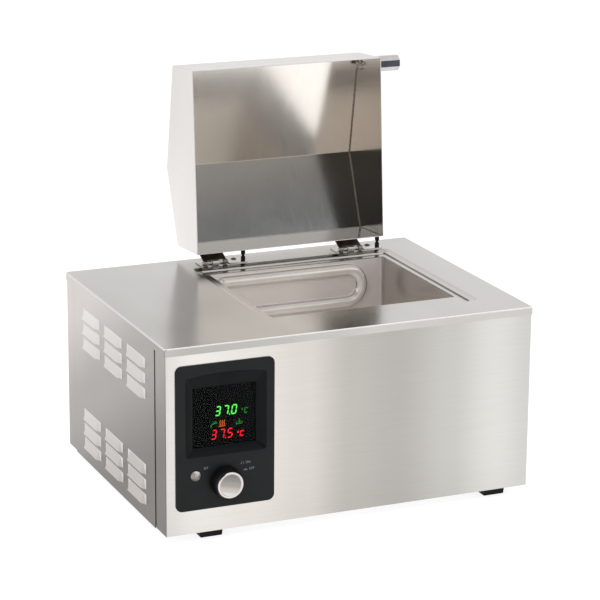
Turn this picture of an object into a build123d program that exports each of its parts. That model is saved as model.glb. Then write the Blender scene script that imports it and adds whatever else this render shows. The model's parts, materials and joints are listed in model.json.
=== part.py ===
import os
from math import asin, atan2, cos, degrees, radians, sin

from build123d import *

# Bench-top water bath, in millimetres. The origin is the centre of the housing on the bench,
# +Z is up and the front faces -Y. The lid stands open, as it is used when loading the bath.

# Housing
plate_width = 468.0
plate_depth = 356.0
overall_height = 238.0
foot_height = 12.8
sheet = 1.0
fold_radius = 1.6
plate_overhang = 1.2
rim_height = 9.5
seam_gap = 0.2
panel_gap = 2.2
front_post = 33.0
rear_post = 28.6
post_flange = 10.0
top_flange = 12.0
side_panel_proud = 0.6
side_panel_drop = 1.0
tray_wall = 18.0
compartment_gap = 2.5
partition_setback = 4.0
tray_vents = 8
tray_vent_pitch = 16.0
tray_vent_width = 4.0
tray_vent_margin = 22.0
tray_vent_web = 12.0
rear_screw_inset = 14.0
rear_screw_radius = 1.5
rear_vents = 8
rear_vent_pitch = 12.0
rear_vent_length = 40.0
rear_vent_drop = 50.0

# Bath tank and the stepped recess round its opening
tank_width = 240.0
tank_length = 205.0
tank_depth = 139.0
tank_right_margin = 62.0
tank_rear_margin = 66.0
tank_corner = 3.5
tank_floor_radius = 6.0
tank_flange = 5.0
ledge_side = 5.5
ledge_rear = 10.5
ledge_front = 25.5
outer_step_width = 4.0
outer_step_drop = 2.2
seat_width = 3.5
inner_step_width = 2.0
inner_step_drop = 1.6
recess_corner = 6.0
inner_step_corner = 4.0
opening_corner = 3.0
pressing_offset = 0.6

# Heater bead on the tank's back wall, and the heater behind it
bead_radius = 7.5
bead_top_drop = 15.5
bead_pitch = 43.0
bead_left_margin = 20.0
bead_right_margin = 23.0
heater_radius = 4.2
heater_bend = 10.0
heater_tail = 16.0
clamp_margin = 12.0
clamp_sheet = 1.5
insulation_thickness = 10.0
insulation_gap = 0.3
sensor_drop = 70.0

# Side louvres
louvre_length = 62.5
louvre_end = 7.4
louvre_height = 12.0
louvre_proud = 4.2
louvre_pitch_y = 80.9
louvre_pitch_z = 18.7
louvre_centre_y = 0.8
upper_louvre_drop = 78.2
lower_louvre_rise = 17.4
louvre_columns = 3
louvre_rows = 3

# Lid
lid_left_gap = 8.4
lid_right_gap = 4.6
lid_rear_gap = 6.2
lid_front_gap = 22.5
lid_lift = 0.3
lid_rear_wall = 71.0
lid_front_wall = 69.0
lid_ridge_height = 102.0
lid_ridge_from_rear = 97.0
lid_open_angle = 94.1
handle_length = 51.5
handle_flats = 20.0
handle_from_front = 15.5
handle_up = 60.0
collar_thickness = 2.0

# Hinges
hinge_behind_recess = 6.5
hinge_axis_height = 3.4
knuckle_radius = 3.0
hinge_pin_radius = 1.5
pin_clearance = 0.05
hinge_width = 31.0
hinge_from_lid_left = 10.3
hinge_from_lid_right = 60.0
arm_width = 5.0
centre_knuckle = 9.0
leaf_sheet = 1.5
leaf_reach = 26.0
leaf_pad = 13.0
base_sheet = 1.2
base_tail = 28.0
base_rear_edge = 20.0
base_ear = 3.0
hinge_screw_radius = 1.5
hinge_screw_head = 4.2
outer_screw_offset = 15.0
stop_radius = 2.8
stop_gap = 0.3

# Control bezel and what sits in it
bezel_width = 121.5
bezel_height = 174.4
bezel_proud = 2.0
bezel_corner = 8.0
bezel_left_margin = 11.5
bezel_top_drop = 22.4
bezel_lip = 5.0
bezel_body_depth = 14.0
bezel_wall = 2.0
display_recess_width = 99.8
display_recess_height = 95.0
display_recess_arch = 4.2
display_recess_drop = 15.6
display_recess_left = 11.7
display_recess_depth = 6.0
window_width = 79.0
window_height = 73.0
window_drop = 13.3
window_sheet = 1.5
module_width = 52.0
module_height = 48.0
module_gap = 0.8
module_drop = 10.0
board_sheet = 1.6
knob_right_of_left = 59.9
knob_up = 32.0
knob_length = 18.5
knob_radius = 18.7
knob_cap_radius = 15.6
knob_gap = 1.6
knob_travel = 1.0
knob_wall = 2.5
knob_pocket = 6.0
cap_seat = 4.0
cap_rim = 2.2
spindle_radius = 3.0
plunger_length = 4.0
bush_radius = 4.6
bush_proud = 3.0
bush_nut_height = 2.2
encoder_size = 15.0
encoder_depth = 9.0
button_left = 23.7
button_up = 42.2
button_radius = 6.2
button_proud = 3.2
button_travel = 1.5
button_clearance = 0.4

# Feet
foot_width = 30.0
foot_length = 27.0
left_foot_inset = 46.0
right_foot_inset = 21.5
front_foot_inset = 13.0
rear_foot_inset = 20.0
foot_taper = 1.5
foot_screw_radius = 1.8

# Electrics in the left compartment
transformer_width = 62.0
transformer_length = 44.0
transformer_height = 52.0
transformer_y = 10.0
coil_overhang = 9.0
control_board_length = 130.0
control_board_height = 95.0
control_board_y = -30.0
standoff_length = 8.0
relay_length = 29.0
relay_width = 14.0
relay_height = 16.0
capacitor_radius = 6.0
capacitor_height = 18.0
heat_sink_length = 60.0
heat_sink_height = 40.0
heat_sink_depth = 23.0
heat_sink_plate = 5.0
heat_sink_fins = 7
heat_sink_y = 105.0
heat_sink_from_left = 22.0
power_switch_length = 34.0
power_switch_height = 28.0
power_switch_depth = 14.0
terminal_block_length = 56.0
terminal_block_width = 16.0
terminal_block_height = 12.0
terminal_block_y = -60.0
terminal_poles = 6
inlet_from_left = 60.0
inlet_up = 60.0
inlet_flange_width = 50.0
inlet_flange_height = 24.0
inlet_body_width = 28.0
inlet_body_height = 21.0
inlet_socket_depth = 16.0

# Levels and edges shared by several pieces
plate_top = overall_height
plate_under = plate_top - sheet
body_half_width = plate_width / 2 - plate_overhang
body_half_depth = plate_depth / 2 - plate_overhang
body_bottom = foot_height
panel_top = plate_under - seam_gap
body_front = -body_half_depth
body_rear = body_half_depth
joggle = sheet - side_panel_proud + seam_gap
inner_half_width = body_half_width - joggle - sheet - seam_gap
inner_half_depth = body_half_depth - sheet - seam_gap
tray_top = body_bottom + sheet

tank_right = plate_width / 2 - tank_right_margin
tank_left = tank_right - tank_width
tank_rear = plate_depth / 2 - tank_rear_margin
tank_front = tank_rear - tank_length
recess_drop = outer_step_drop + inner_step_drop
steps_width = outer_step_width + seat_width + inner_step_width
recess_left = tank_left - ledge_side - steps_width
recess_right = tank_right + ledge_side + steps_width
recess_rear = tank_rear + ledge_rear + steps_width
recess_front = tank_front - ledge_front - steps_width
ledge_under = plate_top - recess_drop - sheet
tank_floor = ledge_under - tank_depth

lid_left = recess_left + lid_left_gap
lid_right = recess_right - lid_right_gap
lid_rear = recess_rear - lid_rear_gap
lid_front = recess_front + lid_front_gap
lid_bottom = plate_top - outer_step_drop + lid_lift
lid_length = lid_rear - lid_front
hinge_y = recess_rear + hinge_behind_recess
hinge_z = plate_top + hinge_axis_height
hinge_lefts = [lid_left + hinge_from_lid_left, lid_right - hinge_from_lid_right]

bezel_left = -body_half_width + bezel_left_margin
bezel_top = plate_top - bezel_top_drop
bezel_bottom = bezel_top - bezel_height
bezel_front = body_front - bezel_proud
bezel_back = bezel_front + bezel_body_depth
knob_x = bezel_left + knob_right_of_left
knob_z = bezel_bottom + knob_up
button_x = bezel_left + button_left
button_z = bezel_bottom + button_up
recess_floor_y = bezel_front + display_recess_depth
display_left = bezel_left + display_recess_left
display_top = bezel_top - display_recess_drop
display_centre_x = display_left + display_recess_width / 2
window_top = display_top - window_drop
window_centre_z = window_top - window_height / 2
module_centre_z = window_centre_z - module_drop
board_front = bezel_back + seam_gap
board_back = board_front + board_sheet

left_foot_x = -body_half_width + left_foot_inset + foot_width / 2
right_foot_x = body_half_width - right_foot_inset - foot_width / 2
front_foot_y = body_front + front_foot_inset + foot_length / 2
rear_foot_y = body_rear - rear_foot_inset - foot_length / 2
foot_centres = {
    "front_left": (left_foot_x, front_foot_y),
    "front_right": (right_foot_x, front_foot_y),
    "rear_left": (left_foot_x, rear_foot_y),
    "rear_right": (right_foot_x, rear_foot_y),
}
inlet_x = -body_half_width + inlet_from_left
inlet_z = body_bottom + inlet_up
partition_x = recess_left - pressing_offset - compartment_gap
compartment_x = (partition_x - sheet - inner_half_width) / 2
compartment_width = partition_x - sheet + inner_half_width


def block(x0, x1, y0, y1, z0, z1):
    """Box between six face positions."""
    centre = ((x0 + x1) / 2, (y0 + y1) / 2, (z0 + z1) / 2)
    return Pos(*centre) * Box(abs(x1 - x0), abs(y1 - y0), abs(z1 - z0))


def rod(start, end, radius):
    """Round bar from one point to another."""
    axis = Vector(*end) - Vector(*start)
    return extrude(Plane(origin=start, z_dir=axis) * Circle(radius), axis.length)


def rounded_slab(x0, x1, y0, y1, z, corner):
    """Flat outline with round corners at height z."""
    place = Pos((x0 + x1) / 2, (y0 + y1) / 2, z)
    return place * RectangleRounded(x1 - x0, y1 - y0, corner)


def upright_edges(solid, y_test=None):
    """Edges along Z, all of them or those at one end in Y."""
    edges = solid.edges().filter_by(Axis.Z)
    if y_test is None:
        return edges
    return edges.filter_by_position(Axis.Y, y_test - 0.01, y_test + 0.01)


def opened(solid):
    """Turn a piece of the closed lid to where the open lid stands."""
    return solid.rotate(Axis((0, hinge_y, hinge_z), (1, 0, 0)), -lid_open_angle)


# Housing

def recess_ring(inset, drop, corner, spread, lower):
    """Outline of the recess at a distance in from its lip."""
    return rounded_slab(
        recess_left + inset - spread,
        recess_right - inset + spread,
        recess_front + inset - spread,
        recess_rear - inset + spread,
        plate_top - drop - lower,
        corner + spread,
    )


def recess_form(spread, lower):
    """The two steps of the recess as a solid, for the upper or the under face of the sheet."""
    outer_foot = recess_corner - outer_step_width
    outer_step = loft([
        recess_ring(0, 0, recess_corner, spread, lower),
        recess_ring(outer_step_width, outer_step_drop, outer_foot, spread, lower),
    ], ruled=True)
    seat = outer_step_width + seat_width
    inner_foot = inner_step_corner - inner_step_width
    inner_step = loft([
        recess_ring(seat, outer_step_drop, inner_step_corner, spread, lower),
        recess_ring(steps_width, recess_drop, inner_foot, spread, lower),
    ], ruled=True)
    return outer_step + inner_step


def make_top_plate():
    half_w, half_d = plate_width / 2, plate_depth / 2
    rim_bottom = plate_top - rim_height
    plate = block(-half_w, half_w, -half_d, half_d, rim_bottom, plate_top)
    plate = fillet(upright_edges(plate), 2 * fold_radius)
    plate = fillet(plate.faces().sort_by(Axis.Z)[-1].edges(), fold_radius)
    under = block(-half_w + sheet, half_w - sheet, -half_d + sheet, half_d - sheet,
                  rim_bottom - 1, plate_under)
    plate -= fillet(upright_edges(under), 2 * fold_radius - sheet)
    plate += recess_form(pressing_offset, sheet)
    plate -= recess_form(0, 0)
    opening = rounded_slab(tank_left, tank_right, tank_front, tank_rear,
                           ledge_under - sheet, opening_corner)
    plate -= extrude(opening, 3 * sheet + recess_drop)
    for x, y in hinge_screw_points():
        plate -= rod((x, y, plate_under - 1), (x, y, plate_top + 1), hinge_screw_radius + 0.1)
    return plate


def make_end_panel(front, post):
    """Front or rear panel: a face with returns that form the corner posts."""
    w, face = body_half_width, body_front
    panel = block(-w, w, face, face + post, body_bottom, panel_top)
    panel = fillet(upright_edges(panel, face), fold_radius)
    top_fold = panel.faces().sort_by(Axis.Y)[0].edges().sort_by(Axis.Z)[-1]
    panel = fillet(top_fold, fold_radius)
    hollow = block(-w + sheet, w - sheet, face + sheet, face + post + 1,
                   body_bottom - 1, panel_top - sheet)
    panel -= fillet(upright_edges(hollow, face + sheet), fold_radius - sheet)
    panel -= block(-w + sheet, w - sheet, face + top_flange, face + post + 1,
                   panel_top - 2 * sheet, panel_top + 1)
    post_end = face + post
    flange_top = panel_top - sheet - seam_gap
    for side in (-1, 1):
        outside = side * (w - joggle)
        inside = side * (w - joggle - sheet)
        panel += block(side * (w - sheet / 2), inside, post_end - sheet, post_end,
                       body_bottom, flange_top)
        panel += block(outside, inside, post_end - sheet, post_end + post_flange,
                       body_bottom, flange_top)
    return panel if front else mirror(panel, Plane.XZ)


def make_front_panel():
    cut = facing(body_front + 2 * sheet) * bezel_outline(bezel_lip - seam_gap)
    return make_end_panel(True, front_post) - extrude(cut, 4 * sheet)


def make_rear_panel():
    panel = make_end_panel(False, rear_post)
    panel -= block(inlet_x - inlet_body_width / 2 - seam_gap,
                   inlet_x + inlet_body_width / 2 + seam_gap,
                   body_rear - 2, body_rear + 2,
                   inlet_z - inlet_body_height / 2 - seam_gap,
                   inlet_z + inlet_body_height / 2 + seam_gap)
    for x in rear_vent_places():
        slot = Pos(x, plate_top - rear_vent_drop) * SlotOverall(rear_vent_length, 4, rotation=90)
        panel -= extrude(facing(body_rear + sheet) * slot, 3 * sheet)
    for x, z in rear_screw_points():
        panel -= rod((x, body_rear - 3, z), (x, body_rear + 1, z), rear_screw_radius + 0.1)
    return panel


def rear_vent_places():
    middle = (rear_vents - 1) / 2
    return [inlet_x + (i - middle) * rear_vent_pitch for i in range(rear_vents)]


def rear_screw_points():
    x = body_half_width - rear_screw_inset
    low, high = body_bottom + tray_wall * 2 / 3, plate_top - 22
    return [(-x, low), (x, low), (-x, high), (x, high), (0, low), (0, high)]


def make_side_panel(side):
    """Flat panel between the posts, proud of them by a little."""
    outer = side * (body_half_width + side_panel_proud)
    inner = outer - side * sheet
    return block(inner, outer,
                 body_front + front_post + panel_gap, body_rear - rear_post - panel_gap,
                 body_bottom - side_panel_drop, plate_top - rim_height - seam_gap)


def hood(proud, height, end, root):
    """Wedge with pointed ends, open below: the form of one louvre."""
    half = louvre_length / 2 - louvre_end
    corners = [(proud, side * half, 0) for side in (-1, 1)]
    for x in (root, 0):
        for side in (-1, 1):
            corners += [(x, side * (half + end), 0), (x, side * half, height)]
    return ConvexPolyhedron(corners)


def make_louvre():
    """One louvre on a panel whose outside face is at x = 0, facing +X, and its slot."""
    straight = louvre_length - 2 * louvre_end
    inner_proud = louvre_proud - 1.15 * sheet
    share = inner_proud / louvre_proud
    inner_height = louvre_height * share
    outside = hood(louvre_proud, louvre_height, louvre_end, -sheet / 2)
    inside = hood(inner_proud, inner_height, louvre_end * share, -seam_gap)
    slot = block(-2 * sheet, 0.01, -straight / 2, straight / 2, 0, inner_height - sheet)
    return outside, inside + slot


def louvre_places():
    middle = (louvre_columns - 1) / 2
    return [
        (louvre_centre_y + (column - middle) * louvre_pitch_y, lowest + row * louvre_pitch_z)
        for lowest in (plate_top - upper_louvre_drop, body_bottom + lower_louvre_rise)
        for column in range(louvre_columns)
        for row in range(louvre_rows)
    ]


def make_left_side_panel():
    panel = make_side_panel(-1)
    face = -body_half_width - side_panel_proud
    outside, inside = make_louvre()
    for y, z in louvre_places():
        place = Pos(face, y, z) * Rot(0, 0, 180)
        panel = panel + place * outside - place * inside
    return panel


def make_base_tray():
    w, d = inner_half_width, inner_half_depth
    tray = block(-w, w, -d, d, body_bottom, body_bottom + tray_wall)
    tray = fillet(upright_edges(tray), fold_radius)
    tray -= block(-w + sheet, w - sheet, -d + sheet, d - sheet,
                  tray_top, body_bottom + tray_wall + 1)
    vent_length = (compartment_width - tray_vent_web) / 2 - tray_vent_margin
    vent = SlotOverall(vent_length, tray_vent_width)
    for i in range(tray_vents):
        y = (i - (tray_vents - 1) / 2) * tray_vent_pitch
        for side in (-1, 1):
            x = compartment_x + side * (vent_length + tray_vent_web) / 2
            tray -= extrude(Pos(x, y, body_bottom - sheet) * vent, 3 * sheet)
    for x, y in foot_centres.values():
        tray -= rod((x, y, body_bottom - 1), (x, y, tray_top + 1), foot_screw_radius + 0.1)
    for x, z in rear_screw_points():
        tray -= rod((x, d - 2, z), (x, d + 1, z), rear_screw_radius + 0.1)
    return tray


def make_partition():
    front, rear = board_back + partition_setback, body_rear - top_flange - 2 * sheet
    low, high = tray_top + seam_gap, panel_top - 2 * sheet
    wall = block(partition_x - sheet, partition_x, front, rear, low, high)
    foot = block(partition_x - top_flange, partition_x, front, rear, low, low + sheet)
    return wall + foot


def make_foot(x, y):
    block_foot = extrude(Pos(x, y, body_bottom) * RectangleRounded(foot_width, foot_length, 3),
                         -foot_height, taper=degrees(atan2(foot_taper, foot_height)))
    block_foot = fillet(block_foot.faces().sort_by(Axis.Z)[0].edges(), 1.0)
    pocket_top = 5.0
    block_foot -= rod((x, y, -1), (x, y, pocket_top), 4.5)
    return block_foot - rod((x, y, 0), (x, y, foot_height + 1), foot_screw_radius + 0.1)


def make_foot_screws():
    screws = []
    for x, y in foot_centres.values():
        head = rod((x, y, 2.6), (x, y, 5.0), 3.5)
        shank = rod((x, y, 4.9), (x, y, tray_top + 7), foot_screw_radius)
        nut = Pos(x, y, tray_top + 1.6) * extrude(RegularPolygon(4.0, 6), 3.2 / 2, both=True)
        screws.append(head + shank + nut)
    return Compound(screws)


# Tank and heater

def bead_ends():
    """Left end, bend start and the two heights of the U on the back wall."""
    upper = plate_top - bead_top_drop
    lower = upper - bead_pitch
    right = tank_right - bead_right_margin - bead_pitch / 2 - bead_radius
    return tank_left + bead_left_margin, right, upper, lower


def u_path(left, right, y, upper, lower):
    middle = (upper + lower) / 2
    return Wire([
        Line((left, y, upper), (right, y, upper)).edge(),
        ThreePointArc((right, y, upper), (right + (upper - lower) / 2, y, middle),
                      (right, y, lower)).edge(),
        Line((right, y, lower), (left, y, lower)).edge(),
    ])


def bead_form(radius):
    left, right, upper, lower = bead_ends()
    path = u_path(left, right, tank_rear, upper, lower)
    form = sweep(Plane(origin=path @ 0, z_dir=path % 0) * Circle(radius), path=path)
    for z in (upper, lower):
        form += Pos(left, tank_rear, z) * Sphere(radius)
    return form


def make_inner_tank():
    tub = extrude(rounded_slab(tank_left - sheet, tank_right + sheet, tank_front - sheet,
                               tank_rear + sheet, ledge_under, tank_corner + sheet),
                  -tank_depth - sheet)
    tub = fillet(tub.faces().sort_by(Axis.Z)[0].edges(), tank_floor_radius + sheet)
    flange = rounded_slab(tank_left - tank_flange, tank_right + tank_flange,
                          tank_front - tank_flange, tank_rear + tank_flange,
                          ledge_under, tank_corner + tank_flange)
    tub += extrude(flange, -sheet)
    hollow = extrude(rounded_slab(tank_left, tank_right, tank_front, tank_rear,
                                  ledge_under, tank_corner), -tank_depth)
    hollow = fillet(hollow.faces().sort_by(Axis.Z)[0].edges(), tank_floor_radius)
    tub -= hollow
    behind = block(tank_left, tank_right, tank_rear + sheet, tank_rear + 3 * bead_radius,
                   tank_floor, plate_top)
    tub += bead_form(bead_radius) - behind
    return tub - bead_form(bead_radius - sheet)


def heater_y():
    return tank_rear - (bead_radius - sheet - heater_radius) + pin_clearance


def make_heater():
    left, right, upper, lower = bead_ends()
    y, tail_end = heater_y(), tank_rear + heater_tail
    bend = heater_bend
    tip = left + bend

    def end_arc(z):
        near = Vector(tip, y, z)
        far = Vector(left, y + bend, z)
        knee = Vector(tip - bend * sin(radians(45)), y + bend - bend * cos(radians(45)), z)
        return near, knee, far

    near, knee, far = end_arc(upper)
    near_low, knee_low, far_low = end_arc(lower)
    middle = (upper + lower) / 2
    path = Wire([
        Line((left, tail_end, upper), far).edge(),
        ThreePointArc(far, knee, near).edge(),
        Line(near, (right, y, upper)).edge(),
        ThreePointArc((right, y, upper), (right + bead_pitch / 2, y, middle),
                      (right, y, lower)).edge(),
        Line((right, y, lower), near_low).edge(),
        ThreePointArc(near_low, knee_low, far_low).edge(),
        Line(far_low, (left, tail_end, lower)).edge(),
    ])
    return sweep(Plane(origin=path @ 0, z_dir=path % 0) * Circle(heater_radius), path=path)


def make_heater_terminals():
    left, _, upper, lower = bead_ends()
    start = tank_rear + heater_tail
    caps = []
    for z in (upper, lower):
        cap = rod((left, start, z), (left, start + 6, z), heater_radius + 1)
        caps.append(cap + rod((left, start + 6, z), (left, start + 14, z), 1.8))
    return Compound(caps)


def clamp_back():
    return heater_y() + heater_radius + pin_clearance + clamp_sheet


def make_heater_clamp():
    left, right, upper, lower = bead_ends()
    x0, x1 = left + 2 * heater_bend, right + bead_pitch / 2 + clamp_margin
    z0, z1 = lower - clamp_margin, ledge_under - sheet - 1.5
    outer = block(x0, x1, tank_rear + sheet, clamp_back(), z0, z1)
    outer = fillet(outer.edges().filter_by(Axis.Y), 4)
    t = clamp_sheet
    inner = block(x0 + t, x1 - t, tank_rear, clamp_back() - t, z0 + t, z1 - t)
    cover = outer - fillet(inner.edges().filter_by(Axis.Y), 4 - t)
    for z in (upper, lower):
        cover -= block(x0 - 1, x0 + 2 * t, tank_rear, clamp_back() - t,
                       z - heater_radius - 0.5, z + heater_radius + 0.5)
    return cover


def make_insulation():
    gap, thick = insulation_gap, insulation_thickness
    top = ledge_under - sheet - gap
    back = clamp_back() + gap
    outer = block(tank_left - sheet - gap - thick, tank_right + sheet + gap + thick,
                  tank_front - sheet - gap - thick, back + thick,
                  tank_floor - sheet - gap - thick, top)
    outer = fillet(upright_edges(outer), 12)
    inner = block(tank_left - sheet - gap, tank_right + sheet + gap,
                  tank_front - sheet - gap, back, tank_floor - sheet - gap, top + 1)
    jacket = outer - inner
    left, _, upper, lower = bead_ends()
    for z in (upper, lower):
        jacket -= rod((left, back - 1, z), (left, back + thick + 1, z), heater_radius + 2)
    mid_y = (tank_front + tank_rear) / 2
    window = block(tank_left - sheet - gap - thick - 1, tank_left, mid_y - 45, mid_y + 45,
                   plate_top - sensor_drop - 20, plate_top - sensor_drop + 20)
    return jacket - window


def tank_wall_outside():
    return tank_left - sheet - pin_clearance


def make_temperature_sensor():
    x, y = tank_wall_outside(), (tank_front + tank_rear) / 2 - 22
    z = plate_top - sensor_drop
    saddle = block(x - 3, x, y - 10, y + 10, z - 8, z + 8)
    probe = rod((x - 5.5, y - 16, z), (x - 5.5, y + 16, z), 3)
    return saddle + probe


def make_overheat_cutout():
    x, y = tank_wall_outside(), (tank_front + tank_rear) / 2 + 22
    z = plate_top - sensor_drop
    disc = rod((x, y, z), (x - 3, y, z), 10)
    cup = rod((x - 3, y, z), (x - 9, y, z), 8)
    tabs = Compound([block(x - 13, x - 8.9, y + s - 1.5, y + s + 1.5, z - 3, z + 3)
                     for s in (-4, 4)])
    return disc + cup + tabs


# Lid, drawn closed and turned to its open place

def lid_plane(x):
    """Section plane of the closed lid: across is from the rear rim forwards, up is Z."""
    return Plane(origin=(x, lid_rear, lid_bottom), x_dir=(0, -1, 0), z_dir=(-1, 0, 0))


def gable_outline():
    corners = [(0, 0), (0, lid_rear_wall), (lid_ridge_from_rear, lid_ridge_height),
               (lid_length, lid_front_wall), (lid_length, 0)]
    folds = FilletPolyline(*corners, radius=fold_radius)
    return make_face([folds, Line(corners[-1], corners[0])])


def make_lid_shell():
    width = lid_right - lid_left - 2 * sheet
    outer = gable_outline()
    inner = offset(outer, -sheet, kind=Kind.INTERSECTION)
    mouth = Pos(lid_length / 2, 0) * Rectangle(lid_length - 2 * sheet, 4 * sheet)
    section = outer - inner - mouth
    return opened(extrude(lid_plane(lid_right - sheet) * section, width))


def make_lid_end(side):
    x = lid_right if side > 0 else lid_left + sheet
    wall = extrude(lid_plane(x) * gable_outline(), sheet)
    if side > 0:
        y, z = handle_centre()
        wall -= rod((x - 3, y, z), (x + 1, y, z), 2.6)
    return opened(wall)


def handle_centre():
    return lid_front + handle_from_front, lid_bottom + handle_up


def make_lid_handle():
    y, z = handle_centre()
    start = lid_right + collar_thickness
    section = Plane(origin=(start, y, z), x_dir=(0, 1, 0), z_dir=(1, 0, 0)) * RegularPolygon(
        handle_flats / 2, 8, major_radius=False, rotation=22.5)
    bar = extrude(section, handle_length - collar_thickness)
    bar = chamfer(bar.faces().sort_by(Axis.X)[-1].edges(), 1.5)
    return opened(bar - rod((start - 1, y, z), (start + 12, y, z), 2.6))


def make_handle_collar():
    y, z = handle_centre()
    ring = rod((lid_right, y, z), (lid_right + collar_thickness, y, z), handle_flats / 2 - 0.6)
    return opened(ring - rod((lid_right - 1, y, z), (lid_right + collar_thickness + 1, y, z), 2.6))


def make_handle_screw():
    y, z = handle_centre()
    inside = lid_right - sheet
    washer = rod((inside, y, z), (inside - 1.2, y, z), 6.5)
    head = Plane(origin=(inside - 1.2, y, z), z_dir=(-1, 0, 0)) * RegularPolygon(5.2, 6)
    shank = rod((inside - 1.2, y, z), (lid_right + collar_thickness + 10, y, z), 2.5)
    return opened(washer + extrude(head, 4) + shank)


# Hinges: the pin and the long base plate stay on the housing, the leaf turns with the lid

def hinge_screw_points():
    y = hinge_y + base_rear_edge - 4.5
    return [(left + offset_x, y) for left in hinge_lefts
            for offset_x in (hinge_width / 2, hinge_width + outer_screw_offset)]


def make_hinge_base(left):
    z0, z1 = plate_top, plate_top + base_sheet
    edge = hinge_y + knuckle_radius + 0.8
    right = left + hinge_width + base_tail
    far = hinge_y + base_rear_edge
    plate = block(left - base_ear - 2, right, edge, far, z0, z1)
    plate += block(left - base_ear - 2, left - 2, hinge_y - 3, edge, z0, z1)
    plate += block(left + hinge_width + 3, right, hinge_y - 2, edge, z0, z1)
    mid = left + hinge_width / 2
    half = centre_knuckle / 2
    plate += block(mid - half, mid + half, hinge_y, edge, z0, z1)
    plate = fillet(plate.edges().filter_by(Axis.Z).filter_by_position(
        Axis.Y, far - 0.01, far + 0.01), 2.5)
    web = rod((mid - half, hinge_y, hinge_z), (mid + half, hinge_y, hinge_z), knuckle_radius)
    plate += web
    plate -= rod((left, hinge_y, hinge_z), (left + hinge_width, hinge_y, hinge_z),
                 hinge_pin_radius + pin_clearance)
    for x, y in hinge_screw_points():
        plate -= rod((x, y, z0 - 1), (x, y, z1 + 1), hinge_screw_radius + 0.1)
    return plate


def make_hinge_pin(left):
    head = 1.2
    pin = rod((left - head, hinge_y, hinge_z), (left + hinge_width + head, hinge_y, hinge_z),
              hinge_pin_radius)
    pin += rod((left - head - 0.1, hinge_y, hinge_z), (left - 0.1, hinge_y, hinge_z), 2.2)
    end = left + hinge_width + 0.1
    return pin + rod((end, hinge_y, hinge_z), (end + head, hinge_y, hinge_z), 2.2)


def make_hinge_leaf(left):
    """Closed, the leaf climbs from the pin to the rear wall of the lid and lies up it."""
    axis_s, axis_v = lid_rear - hinge_y, hinge_z - lid_bottom
    rise = FilletPolyline((axis_s, axis_v), (-leaf_sheet, leaf_reach),
                          (-leaf_sheet, leaf_reach + leaf_pad), radius=2.0)
    section = make_face(offset(rise, leaf_sheet, side=Side.RIGHT, closed=True))
    right = left + hinge_width
    leaf = extrude(lid_plane(right) * section, hinge_width)
    gap = Plane(lid_plane(right - arm_width).location * Pos(axis_s, axis_v))
    leaf -= extrude(gap * Circle(knuckle_radius + 1.2), hinge_width - 2 * arm_width)
    for x in (left, right - arm_width):
        leaf += rod((x, hinge_y, hinge_z), (x + arm_width, hinge_y, hinge_z), knuckle_radius)
    leaf -= rod((left - 1, hinge_y, hinge_z), (right + 1, hinge_y, hinge_z),
                hinge_pin_radius + pin_clearance)
    return opened(leaf)


def make_hinge_screws():
    screws = []
    for x, y in hinge_screw_points():
        top = plate_top + base_sheet
        head = Pos(x, y, top + 0.8) * Cylinder(hinge_screw_head, 1.6)
        head = fillet(head.edges().sort_by(Axis.Z)[-1], 1.0)
        shank = rod((x, y, top + 0.1), (x, y, plate_under - 4), hinge_screw_radius)
        nut = Pos(x, y, plate_under - 1.2) * extrude(RegularPolygon(3.1, 6), 1.2, both=True)
        screws.append(head + shank + nut)
    return Compound(screws)


def stop_place(left):
    return left + hinge_width + base_tail - 5, hinge_y + 2.6


def open_wall_height(y):
    """Height of the open lid's rear wall above a place on the plate."""
    turn = radians(lid_open_angle)
    arm_y, arm_z = lid_rear - hinge_y, lid_bottom - hinge_z
    rim_y = hinge_y + arm_y * cos(turn) + arm_z * sin(turn)
    rim_z = hinge_z - arm_y * sin(turn) + arm_z * cos(turn)
    return rim_z + (y - rim_y) * cos(turn) / sin(turn)


def make_lid_stop(left):
    x, y = stop_place(left)
    base = plate_top + base_sheet
    top = open_wall_height(y) - stop_gap
    r = stop_radius
    height = top - base
    outline = make_face(Polyline(
        (0, 0), (r, 0), (r, 0.36 * height), (0.62 * r, 0.45 * height), (0.62 * r, 0.55 * height),
        (r, 0.64 * height), (r, height - 1), (r - 1, height), (0, height), close=True))
    return Pos(x, y, base) * revolve(Plane.XZ * outline, Axis.Z)


# Controls

def bezel_outline(inset):
    return rounded_slab(bezel_left + inset, bezel_left + bezel_width - inset,
                        bezel_bottom + inset, bezel_top - inset, 0,
                        max(bezel_corner - inset, 1.0))


def facing(y):
    """Upright plane at y, looking to -Y, with X to the right and Z up."""
    return Plane.XZ.offset(-y)


def arched_outline(x0, x1, z0, z1, arch, corner):
    """Rectangle with a slightly arched top edge and round corners."""
    mid = (x0 + x1) / 2
    outline = make_face([
        Line((x0, z1), (x0, z0)), Line((x0, z0), (x1, z0)), Line((x1, z0), (x1, z1)),
        ThreePointArc((x1, z1), (mid, z1 + arch), (x0, z1)),
    ])
    return fillet(outline.vertices(), corner)


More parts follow.
